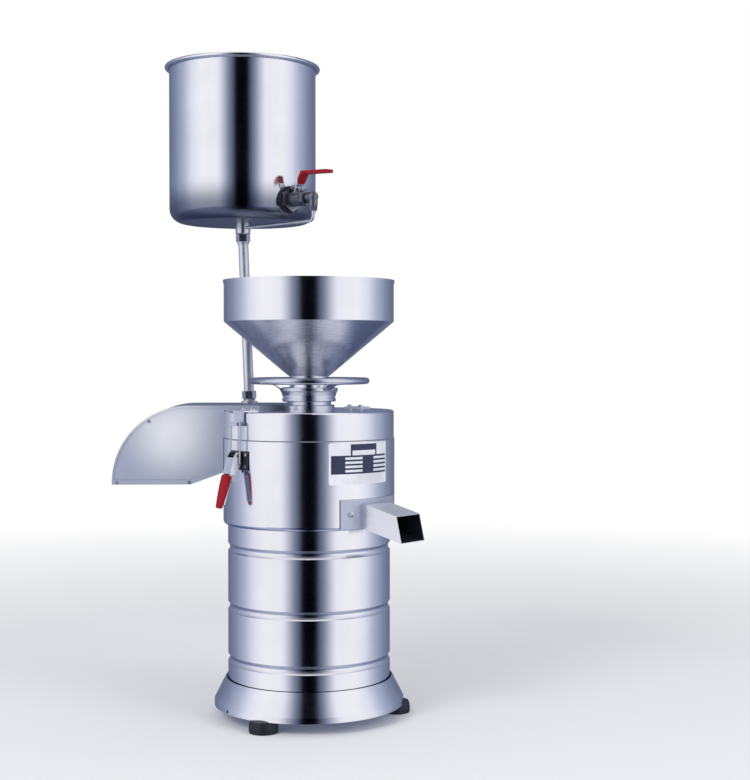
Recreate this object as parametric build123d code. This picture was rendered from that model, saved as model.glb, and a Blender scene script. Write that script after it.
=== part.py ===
from build123d import *
import math
import os

# A soy milk machine: a motor stand that carries a grinding and filtering chamber,
# a lid with a residue hood, a hopper with a handwheel that sets the stones, and a water tank.
# Millimetres and degrees. The origin is on the main axis, at the floor. The front is -Y.
# A bearing is an angle seen from above, from the front (0) towards the right (90).

# Sheet and running clearances
SHEET = 1.5
FIT = 0.1
GAP = 0.3

# Stand: feet, skirt, base plate and motor casing
FOOT_BEARINGS = (-30, 90, 210)
FOOT_CIRCLE = 134.5
FOOT_RADIUS = 22
FOOT_HEIGHT = 18
FOOT_RECESS_RADIUS = 8
FOOT_RECESS_DEPTH = 7
FOOT_SCREW_RADIUS = 3
SKIRT_BOTTOM_RADIUS = 146
SKIRT_TOP_RADIUS = 129
SKIRT_FLANGE_HEIGHT = 8.5
SKIRT_HEIGHT = 42
SKIRT_NOTCH_BEARING = -57
SKIRT_NOTCH_WIDTH = 5
BASE_PLATE_THICKNESS = 3
CASING_RADIUS = 125
CASING_TOP = 296
CASING_FLANGE = 9
CASING_TOP_FLANGE = 17
GROOVE_HEIGHTS = (91, 171, 261)
GROOVE_WIDTH = 13
GROOVE_DEPTH = 3

# Chamber housing and milk spout
HOUSING_RADIUS = 132
HOUSING_TOP = 427
HOUSING_CORNER = 6
HOUSING_FLOOR_FLAT = 105
HOUSING_FLOOR_RISE = 4
HOUSING_RIM_WIDTH = 9
SEAL_BOSS_RADIUS = 34
SEAL_BOSS_HEIGHT = 20
SEAL_RADIUS = 22
SEAL_HEIGHT = 9
RESIDUE_RING_DROP = 25
RESIDUE_WINDOW = (-165, -84)
SPOUT_BEARING = 47
SPOUT_WIDTH = 54
SPOUT_DEPTH = 36
SPOUT_WALL = 1.2
SPOUT_SLOPE = 13
SPOUT_ROOT_RISE = 21.5
SPOUT_REACH = 61
SPOUT_LIP = 18
SPOUT_FLANGE_HALF_ARC = 27
SPOUT_FLANGE_RISE = 2.5
SPOUT_FLANGE_HEIGHT = 43.5
SPOUT_BOLT_ARC = 19.5
SPOUT_GASKET = 1

# Motor
SHAFT_RADIUS = 10
SHAFT_BODY_RADIUS = 12
SHAFT_TAIL_RADIUS = 8.5
SHAFT_THREAD_RADIUS = 8
SHAFT_THREAD_LENGTH = 12
STATOR_RADIUS = 78
STATOR_BORE = 42
STATOR_BOTTOM = 120
STATOR_STACK = 80
AIR_GAP = 0.5
WINDING_HEIGHT = 26
SHIELD_WALL = 8
LOWER_SHIELD_DEPTH = 36
UPPER_BEARING_RADIUS = 23.5
UPPER_BEARING_WIDTH = 14
LOWER_BEARING_RADIUS = 20
LOWER_BEARING_WIDTH = 12
TIE_BOLT_RADIUS = 3
STUD_RADIUS = 4
STUD_LENGTH = 20
FAN_RADIUS = 62
FAN_HEIGHT = 22
FAN_BLADES = 8
CAPACITOR_RADIUS = 16
CAPACITOR_HEIGHT = 76

# Filter basket and grindstones
SEAT_RUNNING_GAP = 2.5
SEAT_RADIUS = 60
SEAT_THICKNESS = 6
SEAT_HUB_RADIUS = 24
BASKET_BOTTOM_RADIUS = 72
BASKET_TOP_RADIUS = 111
BASKET_HEIGHT = 80.5
BASKET_RIM = 2
BASKET_WINDOWS = 12
SCREEN_THICKNESS = 0.6
STONE_RADIUS = 55
STONE_THICKNESS = 24
STONE_GAP = 1
STONE_EYE = 29
FURROWS = 12
FURROW_WIDTH = 3
FURROW_DEPTH = 1.5
CARRIER_THICKNESS = 6

# Lid, neck, feed tube, handwheel and hopper
LID_SEAL_THICKNESS = 1.6
LID_RADIUS = 131
LID_HEIGHT = 41.4
LID_CORNER = 3
NECK_RADIUS = 34
NECK_FLANGE_RADIUS = 39.5
NECK_FLANGE_HEIGHT = 8
NECK_HEIGHT = 20
FEED_TUBE_RADIUS = 30
FEED_TUBE_BORE = 27
FEED_TUBE_STAND = 32
KEY_WIDTH = 4
KEY_DEPTH = 1.5
WHEEL_HUB_RADIUS = 41.5
WHEEL_HUB_HEIGHT = 22
WHEEL_HUB_GROOVE = 1.5
WHEEL_RIM_RADIUS = 93.5
WHEEL_RIM_TUBE = 5
WHEEL_RIM_RISE = 32
WHEEL_SPOKE_BEARINGS = (-80, 40, 160)
WHEEL_SPOKE_ARC = 20
WHEEL_WEB = 4
HOPPER_RADIUS = 131
HOPPER_SHEET = 1.2
HOPPER_CONE_HEIGHT = 84
HOPPER_WALL_HEIGHT = 63.5
HOPPER_RIM = 4
HOPPER_SPIGOT = 28

# Residue hood
HOOD_FRONT = -20
HOOD_BACK = 132
HOOD_RISE = 7.5
HOOD_BEND = 183
HOOD_BEND_RADIUS = 117.5
HOOD_DROP = 120.5
HOOD_MOUTH_END = 181
HOOD_FLOOR_RISE = 18
HOOD_FLOOR_START = 131
HOOD_COVER_CORNER = 75
HOOD_HEM = 3
HOOD_LIP_HEM = 7
HOOD_HEM_THICKNESS = 1.2

# Standpipe and water tank
PIPE_X = -106
PIPE_Y = 102
PIPE_LEAN = 10
PIPE_RADIUS = 8
PIPE_WALL = 1.2
PIPE_FLANGE_RADIUS = 13
PIPE_FLANGE_THICKNESS = 3.5
UNION_FLATS = 20
UNION_HEIGHT = 12
LOWER_UNION_RISE = 7.5
UNION_SPACING = 252
SOCKET_HEIGHT = 17
TANK_RADIUS = 117
TANK_HEIGHT = 250
TANK_SHEET = 1
TANK_CORNER = 22
TANK_RIM_RADIUS = 124
TANK_BEAD = 3
SOCKET_RADIUS = 12

# Water valve on the tank
VALVE_BEARING = 40
VALVE_RISE = 29
VALVE_THREAD_RADIUS = 10.5
VALVE_GASKET_RADIUS = 21
VALVE_GASKET_THICKNESS = 4
VALVE_NUT_FLATS = 34
VALVE_NUT_THICKNESS = 6
VALVE_BODY_RADIUS = 12
VALVE_LENGTH = 57
VALVE_STEM_OFFSET = 20
VALVE_STEM_RADIUS = 4
VALVE_OUTLET_OFFSET = 58
VALVE_OUTLET_RADIUS = 7
VALVE_OUTLET_DROP = 21
LEVER_LENGTH = 76
LEVER_RISE = 19
LEVER_TAIL = 7
LEVER_KNEE = 5
LEVER_RAMP = 14
LEVER_DROOP = 3
LEVER_WIDTH = 12
LEVER_THICKNESS = 3
LEVER_STAND = 18
SLEEVE_WALL = 1
WATER_TUBE_RADIUS = 2.5
WATER_TUBE_DROP = 7

# Toggle latches
LATCH_BEARINGS = {"left": -52, "right": 140}
LATCH_BASE_WIDTH = 44
LATCH_BASE_HEIGHT = 28
LATCH_BASE_DROP = 15
LATCH_PIVOT_OFFSET = 9.2
LATCH_PIVOT_DROP = 22
LATCH_PIN_RADIUS = 2
LATCH_BAIL_DROP = 12
LATCH_BAIL_INSET = 1.7
LATCH_LEVER_HALF = 9.5
LATCH_EAR_HALF = 7.5
LATCH_WIRE_RADIUS = 1.5
LATCH_WIRE_HALF = 11.6
LATCH_HOOK_DROP = 17
LATCH_HOOK_OFFSET = 7.5
LATCH_HOOK_LIP = 4
LATCH_STRAP = 2
LATCH_STRAP_WIDTH = 26
LATCH_STRAP_REACH = 22
LATCH_RIVET_RADIUS = 2.6
LATCH_RIVET_INSET = 5
LATCH_GRIP_TOP = 27
LATCH_GRIP_LENGTH = 50
LATCH_GRIP_LEAN = 17
LATCH_GRIP_WIDTH = 18
LATCH_TANG = 2

# Hidden rear: power switch and cable gland
SWITCH_BEARING = 150
GLAND_BEARING = 180
REAR_FITTING_HEIGHT = 131
SWITCH_WIDTH = 28
SWITCH_HEIGHT = 22
SWITCH_DEPTH = 24
ROCKER_TILT = 10
ROCKER_PIN = 1.5
GLAND_RADIUS = 8
GLAND_LENGTH = 20

# Heights and radii that follow from the sizes above
SKIRT_TOP = FOOT_HEIGHT + SKIRT_HEIGHT
PLATE_BOTTOM = FOOT_HEIGHT + SHEET
PLATE_TOP = PLATE_BOTTOM + BASE_PLATE_THICKNESS
HOUSING_BOTTOM = CASING_TOP
FLOOR_CENTRE = HOUSING_BOTTOM + HOUSING_FLOOR_RISE
BOSS_TOP = HOUSING_BOTTOM + SEAL_BOSS_HEIGHT
STATOR_TOP = STATOR_BOTTOM + STATOR_STACK
SHIELD_FLANGE_TOP = CASING_TOP - SHEET
SHIELD_FLANGE_RADIUS = CASING_RADIUS - SHEET - GROOVE_DEPTH - GAP
SHIELD_CUP_RADIUS = STATOR_RADIUS + 2
STUD_CIRCLE = CASING_RADIUS - SHEET - CASING_TOP_FLANGE / 2 - 2
TIE_BOLT_CIRCLE = SHIELD_CUP_RADIUS - SHIELD_WALL / 2 - 2
UPPER_BEARING_TOP = SHIELD_FLANGE_TOP - 12
LOWER_SHIELD_BOTTOM = STATOR_BOTTOM - LOWER_SHIELD_DEPTH
LOWER_BEARING_BOTTOM = LOWER_SHIELD_BOTTOM - LOWER_BEARING_WIDTH / 2
FAN_TOP = LOWER_BEARING_BOTTOM - 10
SEAT_BOTTOM = BOSS_TOP + SEAT_RUNNING_GAP
SEAT_TOP = SEAT_BOTTOM + SEAT_THICKNESS
BASKET_TOP = SEAT_TOP + BASKET_HEIGHT
LOWER_STONE_BOTTOM = SEAT_TOP + SHEET
LOWER_STONE_TOP = LOWER_STONE_BOTTOM + STONE_THICKNESS
UPPER_STONE_BOTTOM = LOWER_STONE_TOP + STONE_GAP
UPPER_STONE_TOP = UPPER_STONE_BOTTOM + STONE_THICKNESS
STONE_LEDGE = LOWER_STONE_BOTTOM + STONE_THICKNESS / 2
RESIDUE_RING_HEIGHT = HOUSING_TOP - RESIDUE_RING_DROP
SPOUT_ROOT_HEIGHT = HOUSING_BOTTOM + SPOUT_ROOT_RISE
SPOUT_FLANGE_BOTTOM = HOUSING_BOTTOM + SPOUT_FLANGE_RISE
SPOUT_FLANGE_TOP = SPOUT_FLANGE_BOTTOM + SPOUT_FLANGE_HEIGHT
LID_BOTTOM = HOUSING_TOP + LID_SEAL_THICKNESS
LID_TOP = LID_BOTTOM + LID_HEIGHT
NECK_TOP = LID_TOP + NECK_HEIGHT
FEED_TUBE_TOP = NECK_TOP + FEED_TUBE_STAND
WHEEL_HUB_BOTTOM = LID_TOP + NECK_FLANGE_HEIGHT + 5
WHEEL_RIM_HEIGHT = WHEEL_HUB_BOTTOM + WHEEL_RIM_RISE
HOPPER_BREAK = FEED_TUBE_TOP + HOPPER_CONE_HEIGHT
HOPPER_TOP = HOPPER_BREAK + HOPPER_WALL_HEIGHT
HOOD_TOP = LID_TOP + HOOD_RISE
HOOD_LIP = HOOD_TOP - HOOD_DROP
HOOD_FLOOR = HOOD_LIP + HOOD_FLOOR_RISE
LOWER_UNION_BOTTOM = HOOD_TOP + LOWER_UNION_RISE
UPPER_UNION_BOTTOM = LOWER_UNION_BOTTOM + UNION_SPACING
PIPE_TOP = UPPER_UNION_BOTTOM + UNION_HEIGHT
TANK_BOTTOM = PIPE_TOP + SOCKET_HEIGHT
VALVE_HEIGHT = TANK_BOTTOM + VALVE_RISE
LEVER_HEIGHT = VALVE_HEIGHT + LEVER_STAND
WATER_TUBE_HEIGHT = TANK_BOTTOM - WATER_TUBE_DROP
LATCH_BASE_TOP = HOUSING_TOP - LATCH_BASE_DROP
LATCH_BASE_BOTTOM = LATCH_BASE_TOP - LATCH_BASE_HEIGHT
LATCH_PIVOT_HEIGHT = HOUSING_TOP - LATCH_PIVOT_DROP
LATCH_HOOK_HEIGHT = LID_TOP - LATCH_HOOK_DROP
LATCH_PIVOT_RADIUS = HOUSING_RADIUS + LATCH_PIVOT_OFFSET
LATCH_BAIL_HEIGHT = LATCH_PIVOT_HEIGHT - LATCH_BAIL_DROP
LATCH_BAIL_RADIUS = LATCH_PIVOT_RADIUS - LATCH_BAIL_INSET
LATCH_HOOK_RADIUS = LID_RADIUS + LATCH_HOOK_OFFSET

BASE = (Align.CENTER, Align.CENTER, Align.MIN)
OUTWARD = (Align.MIN, Align.CENTER, Align.CENTER)


def station(bearing, radius=0, height=0):
    """A place on the machine. Its X axis points outward and its Y axis along the wall."""
    x = radius * math.sin(math.radians(bearing))
    y = -radius * math.cos(math.radians(bearing))
    return Pos(x, y, height) * Rot(0, 0, bearing - 90)


def tank_station(bearing, radius=0, height=0):
    """The same kind of place, counted from the water tank's own axis."""
    return Pos(PIPE_X, PIPE_Y, 0) * station(bearing, radius, height)


def disc(radius, low, high):
    return Pos(0, 0, low) * Cylinder(radius, high - low, align=BASE)


def ring(outer, inner, low, high):
    return disc(outer, low, high) - disc(inner, low, high)


def hexagon(flats, low, high):
    return extrude(Pos(0, 0, low) * RegularPolygon(flats / 2, 6, major_radius=False), high - low)


def spun(outline):
    """A solid of revolution about the main axis, from closed (radius, height) points."""
    return revolve(Plane.XZ * make_face(Polyline(*outline, close=True)), Axis.Z)


def spun_edges(edges):
    """A solid of revolution about the main axis, from a closed run of lines and arcs."""
    return revolve(Plane.XZ * make_face(Curve() + edges), Axis.Z)


def sector(inner, outer, low, high, start, stop):
    """A piece of ring between two bearings."""
    section = Pos((inner + outer) / 2, (low + high) / 2) * Rectangle(outer - inner, high - low)
    return Rot(0, 0, start - 90) * revolve(Plane.XZ * section, Axis.Z, stop - start)


def side_plate(outline, centre, thickness):
    """A plate that stands in the local X-Z plane, centred on the local Y given."""
    face = Plane.XZ * make_face(Polyline(*outline, close=True))
    return Pos(0, centre, 0) * extrude(face, thickness / 2, both=True)


def rod(radius, half_length):
    """A round bar along the local Y axis."""
    return Rot(90, 0, 0) * Cylinder(radius, 2 * half_length)


def outward_rod(radius, start, stop):
    """A round bar along the local X axis."""
    return Pos(start, 0, 0) * Rot(0, 90, 0) * Cylinder(radius, stop - start, align=BASE)


def outward_hexagon(flats, start, stop):
    return Pos(start, 0, 0) * Rot(0, 90, 0) * hexagon(flats, 0, stop - start)


# Stand


def rubber_feet():
    side = ThreePointArc(
        (FOOT_RADIUS - 1, 0), (FOOT_RADIUS, FOOT_HEIGHT * 0.4), (FOOT_RADIUS - 2.5, FOOT_HEIGHT)
    )
    bore = FOOT_SCREW_RADIUS + GAP
    inside = Polyline(
        (FOOT_RADIUS - 2.5, FOOT_HEIGHT),
        (bore, FOOT_HEIGHT),
        (bore, FOOT_RECESS_DEPTH),
        (FOOT_RECESS_RADIUS, FOOT_RECESS_DEPTH),
        (FOOT_RECESS_RADIUS, 0),
        (FOOT_RADIUS - 1, 0),
    )
    foot = spun_edges([side, inside])
    return [station(b, FOOT_CIRCLE) * foot for b in FOOT_BEARINGS]


def foot_fasteners():
    head_height = 4
    nut_height = 5
    screw = disc(FOOT_SCREW_RADIUS, FOOT_RECESS_DEPTH, PLATE_TOP + nut_height + 1)
    screw += disc(FOOT_RECESS_RADIUS - 1.5, FOOT_RECESS_DEPTH - head_height, FOOT_RECESS_DEPTH)
    nut = hexagon(10, PLATE_TOP, PLATE_TOP + nut_height) - disc(FOOT_SCREW_RADIUS, 0, SKIRT_TOP)
    places = [station(b, FOOT_CIRCLE) for b in FOOT_BEARINGS]
    return [p * piece for p in places for piece in (screw, nut)]


def foot_holes(low, high):
    return [
        station(b, FOOT_CIRCLE) * disc(FOOT_SCREW_RADIUS + GAP, low, high) for b in FOOT_BEARINGS
    ]


def base_skirt():
    flange_top = FOOT_HEIGHT + SKIRT_FLANGE_HEIGHT
    inner_rim = FOOT_CIRCLE - FOOT_RADIUS + 4
    skirt = spun([
        (inner_rim, FOOT_HEIGHT),
        (SKIRT_BOTTOM_RADIUS, FOOT_HEIGHT),
        (SKIRT_BOTTOM_RADIUS, flange_top),
        (SKIRT_TOP_RADIUS, SKIRT_TOP),
        (SKIRT_TOP_RADIUS - SHEET, SKIRT_TOP),
        (SKIRT_BOTTOM_RADIUS - SHEET, flange_top),
        (SKIRT_BOTTOM_RADIUS - SHEET, PLATE_BOTTOM),
        (inner_rim, PLATE_BOTTOM),
    ])
    notch = station(SKIRT_NOTCH_BEARING, SKIRT_BOTTOM_RADIUS, PLATE_BOTTOM + 2.5) * Box(
        6, SKIRT_NOTCH_WIDTH, SKIRT_FLANGE_HEIGHT - 4
    )
    return skirt - foot_holes(0, PLATE_TOP) - notch


def base_plate():
    plate = disc(SKIRT_BOTTOM_RADIUS - SHEET - GAP, PLATE_BOTTOM, PLATE_TOP)
    plate -= disc(FAN_RADIUS * 0.45, 0, PLATE_TOP)
    slots = [
        Rot(0, 0, 30 * i) * Pos(FAN_RADIUS + 12, 0, 0) * Box(24, 6, 4 * PLATE_TOP)
        for i in range(12)
    ]
    return plate - foot_holes(0, PLATE_TOP) - slots


def casing_body(radius, low, high):
    """The motor casing filled to the axis: a straight wall with its rolled-in grooves."""
    edges = [Line((0, low), (radius, low))]
    start = (radius, low)
    for centre in GROOVE_HEIGHTS:
        below = (radius, centre - GROOVE_WIDTH / 2)
        above = (radius, centre + GROOVE_WIDTH / 2)
        edges.append(Line(start, below))
        edges.append(ThreePointArc(below, (radius - GROOVE_DEPTH, centre), above))
        start = above
    edges.append(Line(start, (radius, high)))
    edges.append(Line((radius, high), (0, high)))
    edges.append(Line((0, high), (0, low)))
    return spun_edges(edges)


def motor_casing():
    inside = CASING_RADIUS - SHEET
    casing = casing_body(CASING_RADIUS, PLATE_TOP, CASING_TOP)
    casing -= casing_body(inside, PLATE_TOP + SHEET, CASING_TOP - SHEET)
    casing -= disc(inside - CASING_FLANGE, PLATE_TOP, PLATE_TOP + SHEET)
    casing -= disc(inside - CASING_TOP_FLANGE, CASING_TOP - SHEET, CASING_TOP)
    casing -= stud_holes(CASING_TOP - 2 * SHEET, CASING_TOP)
    casing -= station(SWITCH_BEARING, inside, REAR_FITTING_HEIGHT) * Box(
        12, SWITCH_WIDTH + 2 * GAP, SWITCH_HEIGHT + 2 * GAP
    )
    casing -= station(GLAND_BEARING, 0, REAR_FITTING_HEIGHT) * outward_rod(
        GLAND_RADIUS + GAP, inside - 6, CASING_RADIUS + 6
    )
    return casing


def chamber_housing():
    low = HOUSING_BOTTOM
    floor = HOUSING_BOTTOM + SHEET
    inside = HOUSING_RADIUS - SHEET
    bend = HOUSING_CORNER
    inner_bend = HOUSING_CORNER - SHEET
    corner = HOUSING_RADIUS - bend
    lean = 1 - math.sqrt(0.5)
    hole = SHAFT_RADIUS + 2
    seat = BOSS_TOP - SEAL_HEIGHT
    edges = [
        Polyline(
            (hole, FLOOR_CENTRE), (SEAL_BOSS_RADIUS, FLOOR_CENTRE), (HOUSING_FLOOR_FLAT, low), (corner, low)
        ),
        ThreePointArc(
            (corner, low),
            (HOUSING_RADIUS - bend * lean, low + bend * lean),
            (HOUSING_RADIUS, low + bend),
        ),
        Polyline(
            (HOUSING_RADIUS, low + bend),
            (HOUSING_RADIUS, HOUSING_TOP),
            (HOUSING_RADIUS - HOUSING_RIM_WIDTH, HOUSING_TOP),
            (HOUSING_RADIUS - HOUSING_RIM_WIDTH, HOUSING_TOP - SHEET),
            (inside, HOUSING_TOP - SHEET),
            (inside, low + bend),
        ),
        ThreePointArc(
            (inside, low + bend),
            (inside - inner_bend * lean, floor + inner_bend * lean),
            (corner, floor),
        ),
        Polyline(
            (corner, floor),
            (HOUSING_FLOOR_FLAT, floor),
            (SEAL_BOSS_RADIUS, FLOOR_CENTRE + SHEET),
            (SEAL_BOSS_RADIUS, BOSS_TOP),
            (SEAL_RADIUS, BOSS_TOP),
            (SEAL_RADIUS, seat),
            (hole, seat),
            (hole, FLOOR_CENTRE),
        ),
    ]
    housing = spun_edges(edges)
    housing -= sector(
        HOUSING_RADIUS - HOUSING_RIM_WIDTH,
        HOUSING_RADIUS + SHEET,
        RESIDUE_RING_HEIGHT + 2 * SHEET,
        HOUSING_TOP - 2 * SHEET,
        *RESIDUE_WINDOW,
    )
    return housing - spout_block(GAP, HOUSING_RADIUS - 12, HOUSING_RADIUS + 12) - spout_bolt_holes()


def residue_ring():
    """The fixed ring that keeps thrown residue above the milk."""
    inner = BASKET_TOP_RADIUS + BASKET_RIM + SHEET
    return spun([
        (inner, RESIDUE_RING_HEIGHT - 5),
        (inner + SHEET, RESIDUE_RING_HEIGHT - 5),
        (inner + SHEET, RESIDUE_RING_HEIGHT),
        (HOUSING_RADIUS - SHEET, RESIDUE_RING_HEIGHT),
        (HOUSING_RADIUS - SHEET, RESIDUE_RING_HEIGHT + SHEET),
        (inner, RESIDUE_RING_HEIGHT + SHEET),
    ])


def lid_seal():
    outer = LID_RADIUS - GAP
    return ring(outer, HOUSING_RADIUS - HOUSING_RIM_WIDTH + 1, HOUSING_TOP, LID_BOTTOM)


# Milk spout


def spout_block(clearance, start, stop):
    """The spout's outer section between two radii, grown by a clearance."""
    place = station(SPOUT_BEARING, HOUSING_RADIUS, SPOUT_ROOT_HEIGHT) * Rot(0, SPOUT_SLOPE, 0)
    block = Box(
        stop - start, SPOUT_WIDTH + 2 * clearance, SPOUT_DEPTH + 2 * clearance, align=OUTWARD
    )
    return place * Pos(start - HOUSING_RADIUS, 0, 0) * block


def spout_bolt_holes():
    return [
        station(SPOUT_BEARING + side * SPOUT_BOLT_ARC, 0, SPOUT_ROOT_HEIGHT + 2)
        * outward_rod(3, HOUSING_RADIUS - 8, HOUSING_RADIUS + 8)
        for side in (-1, 1)
    ]


def spout_plate(inner, outer):
    """A curved plate round the spout's root, with the bolt holes."""
    plate = sector(
        inner,
        outer,
        SPOUT_FLANGE_BOTTOM,
        SPOUT_FLANGE_TOP,
        SPOUT_BEARING - SPOUT_FLANGE_HALF_ARC,
        SPOUT_BEARING + SPOUT_FLANGE_HALF_ARC,
    )
    return plate - spout_bolt_holes()


def milk_spout():
    reach = SPOUT_REACH / math.cos(math.radians(SPOUT_SLOPE))
    place = station(SPOUT_BEARING, HOUSING_RADIUS, SPOUT_ROOT_HEIGHT) * Rot(0, SPOUT_SLOPE, 0)
    inner = HOUSING_RADIUS + SPOUT_GASKET
    tube = spout_block(0, HOUSING_RADIUS - 12, HOUSING_RADIUS + reach + SPOUT_LIP)
    bore = place * Box(4 * reach, SPOUT_WIDTH - 2 * SPOUT_WALL, SPOUT_DEPTH - 2 * SPOUT_WALL)
    plate = spout_plate(inner, inner + SHEET)
    slant = side_plate(
        [
            (reach, SPOUT_DEPTH),
            (reach, SPOUT_DEPTH / 2),
            (reach + SPOUT_LIP, -SPOUT_DEPTH / 2),
            (reach + SPOUT_LIP, -SPOUT_DEPTH),
            (2 * reach, -SPOUT_DEPTH),
            (2 * reach, SPOUT_DEPTH),
        ],
        0,
        2 * SPOUT_WIDTH,
    )
    spout = tube + plate - bore - place * slant
    return spout - disc(HOUSING_RADIUS - 2 * SHEET, 0, HOUSING_TOP)


def spout_gasket():
    gasket = spout_plate(HOUSING_RADIUS + FIT / 2, HOUSING_RADIUS + SPOUT_GASKET)
    return gasket - spout_block(0, HOUSING_RADIUS - 12, HOUSING_RADIUS + 6)


def spout_fasteners():
    """A dome head bolt through each side of the flange, with its nut inside."""
    face = HOUSING_RADIUS + SPOUT_GASKET + SHEET
    bolt = outward_rod(3, HOUSING_RADIUS - SHEET - 5, face) + outward_rod(4.8, face, face + 1.6)
    bolt += Pos(face + 1.6, 0, 0) * (Sphere(4) & Box(8, 8, 8, align=OUTWARD))
    nut = outward_hexagon(9, HOUSING_RADIUS - SHEET - 4.5, HOUSING_RADIUS - SHEET - 0.2)
    nut -= outward_rod(3, HOUSING_RADIUS - 12, HOUSING_RADIUS)
    pieces = []
    for side in (-1, 1):
        place = station(SPOUT_BEARING + side * SPOUT_BOLT_ARC, 0, SPOUT_ROOT_HEIGHT + 2)
        pieces += [place * bolt, place * nut]
    return pieces


# Motor


def around(count, circle, piece, turn=45):
    """Copies of a piece, evenly spaced on a circle about the main axis."""
    return [Rot(0, 0, turn + i * 360 / count) * Pos(circle, 0, 0) * piece for i in range(count)]


def stud_holes(low, high):
    return around(4, STUD_CIRCLE, disc(STUD_RADIUS + GAP, low, high))


def tie_bolt_holes(low, high):
    return around(4, TIE_BOLT_CIRCLE, disc(TIE_BOLT_RADIUS + GAP, low, high))


def upper_end_shield():
    flange_bottom = SHIELD_FLANGE_TOP - SHIELD_WALL
    cup_inside = SHIELD_CUP_RADIUS - SHIELD_WALL - 2
    seat = UPPER_BEARING_TOP - UPPER_BEARING_WIDTH
    hub = UPPER_BEARING_RADIUS + SHIELD_WALL
    shield = spun([
        (SHAFT_BODY_RADIUS + 2, SHIELD_FLANGE_TOP),
        (SHIELD_FLANGE_RADIUS, SHIELD_FLANGE_TOP),
        (SHIELD_FLANGE_RADIUS, flange_bottom),
        (SHIELD_CUP_RADIUS, flange_bottom),
        (SHIELD_CUP_RADIUS, STATOR_TOP),
        (cup_inside, STATOR_TOP),
        (cup_inside, flange_bottom),
        (hub, flange_bottom),
        (hub, seat),
        (UPPER_BEARING_RADIUS, seat),
        (UPPER_BEARING_RADIUS, UPPER_BEARING_TOP),
        (SHAFT_BODY_RADIUS + 2, UPPER_BEARING_TOP),
    ])
    vents = around(6, SHIELD_CUP_RADIUS, Box(4 * SHIELD_WALL, 22, 30), 0)
    middle = (STATOR_TOP + flange_bottom) / 2 + 8
    shield -= [Pos(0, 0, middle) * v for v in vents]
    shield -= tie_bolt_holes(STATOR_TOP, flange_bottom + 3)
    return shield - stud_holes(flange_bottom, SHIELD_FLANGE_TOP)


def lower_end_shield():
    cup_inside = SHIELD_CUP_RADIUS - SHIELD_WALL - 2
    plate_top = LOWER_SHIELD_BOTTOM + 6
    hub = LOWER_BEARING_RADIUS + SHIELD_WALL
    bearing_top = LOWER_BEARING_BOTTOM + LOWER_BEARING_WIDTH
    shield = spun([
        (SHAFT_BODY_RADIUS + 2, bearing_top + 4),
        (hub, bearing_top + 4),
        (hub, plate_top),
        (cup_inside, plate_top),
        (cup_inside, STATOR_BOTTOM),
        (SHIELD_CUP_RADIUS, STATOR_BOTTOM),
        (SHIELD_CUP_RADIUS, LOWER_SHIELD_BOTTOM),
        (hub, LOWER_SHIELD_BOTTOM),
        (hub, LOWER_BEARING_BOTTOM),
        (LOWER_BEARING_RADIUS, LOWER_BEARING_BOTTOM),
        (LOWER_BEARING_RADIUS, bearing_top),
        (SHAFT_BODY_RADIUS + 2, bearing_top),
    ])
    shield -= around(8, (hub + cup_inside) / 2, disc(8, 0, STATOR_BOTTOM), 22.5)
    return shield - tie_bolt_holes(LOWER_SHIELD_BOTTOM, STATOR_BOTTOM)


def stator_core():
    core = ring(STATOR_RADIUS, STATOR_BORE, STATOR_BOTTOM, STATOR_TOP)
    return core - tie_bolt_holes(STATOR_BOTTOM, STATOR_TOP)


def winding(low):
    """One end turn of the windings: a rounded ring."""
    inner = STATOR_BORE + 5
    outer = TIE_BOLT_CIRCLE - TIE_BOLT_RADIUS - 3
    coil = ring(outer, inner, low, low + WINDING_HEIGHT)
    return fillet(coil.edges().filter_by(GeomType.CIRCLE), 6)


def stator_windings():
    return [winding(STATOR_BOTTOM - WINDING_HEIGHT), winding(STATOR_TOP)]


def motor_fasteners():
    """Four tie bolts that clamp the end shields, and four studs that hang the motor."""
    flange_bottom = SHIELD_FLANGE_TOP - SHIELD_WALL
    tie = disc(TIE_BOLT_RADIUS, LOWER_SHIELD_BOTTOM, flange_bottom + 2)
    tie += hexagon(10, LOWER_SHIELD_BOTTOM - 4, LOWER_SHIELD_BOTTOM)
    stud = disc(STUD_RADIUS, HOUSING_BOTTOM - STUD_LENGTH, HOUSING_BOTTOM)
    nut = hexagon(13, flange_bottom - 6.5, flange_bottom) - disc(STUD_RADIUS, 0, HOUSING_BOTTOM)
    return (
        around(4, TIE_BOLT_CIRCLE, tie)
        + around(4, STUD_CIRCLE, stud)
        + around(4, STUD_CIRCLE, nut)
    )


def motor_bearings():
    upper = ring(
        UPPER_BEARING_RADIUS,
        SHAFT_RADIUS + FIT,
        UPPER_BEARING_TOP - UPPER_BEARING_WIDTH,
        UPPER_BEARING_TOP,
    )
    lower = ring(
        LOWER_BEARING_RADIUS,
        SHAFT_TAIL_RADIUS + FIT,
        LOWER_BEARING_BOTTOM,
        LOWER_BEARING_BOTTOM + LOWER_BEARING_WIDTH,
    )
    return [upper, lower]


def shaft_seal():
    """A lip seal: an outer case, a thin web and a lip round the shaft."""
    low = BOSS_TOP - SEAL_HEIGHT
    lip = SHAFT_RADIUS + GAP
    return spun([
        (SEAL_RADIUS, low),
        (SEAL_RADIUS, BOSS_TOP),
        (SEAL_RADIUS - 3, BOSS_TOP),
        (SEAL_RADIUS - 3, low + 3),
        (lip + 4, low + 3),
        (lip + 2, low + 7),
        (lip, low + 6),
        (lip, low),
    ])


def run_capacitor():
    can = disc(CAPACITOR_RADIUS, PLATE_TOP, PLATE_TOP + CAPACITOR_HEIGHT)
    can = fillet(can.edges().group_by(Axis.Z)[-1], 2)
    for side in (-1, 1):
        can += Pos(side * 6, 0, PLATE_TOP + CAPACITOR_HEIGHT) * Box(1, 6, 12)
    return station(60, SHIELD_CUP_RADIUS + CAPACITOR_RADIUS + SHEET) * can


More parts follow.
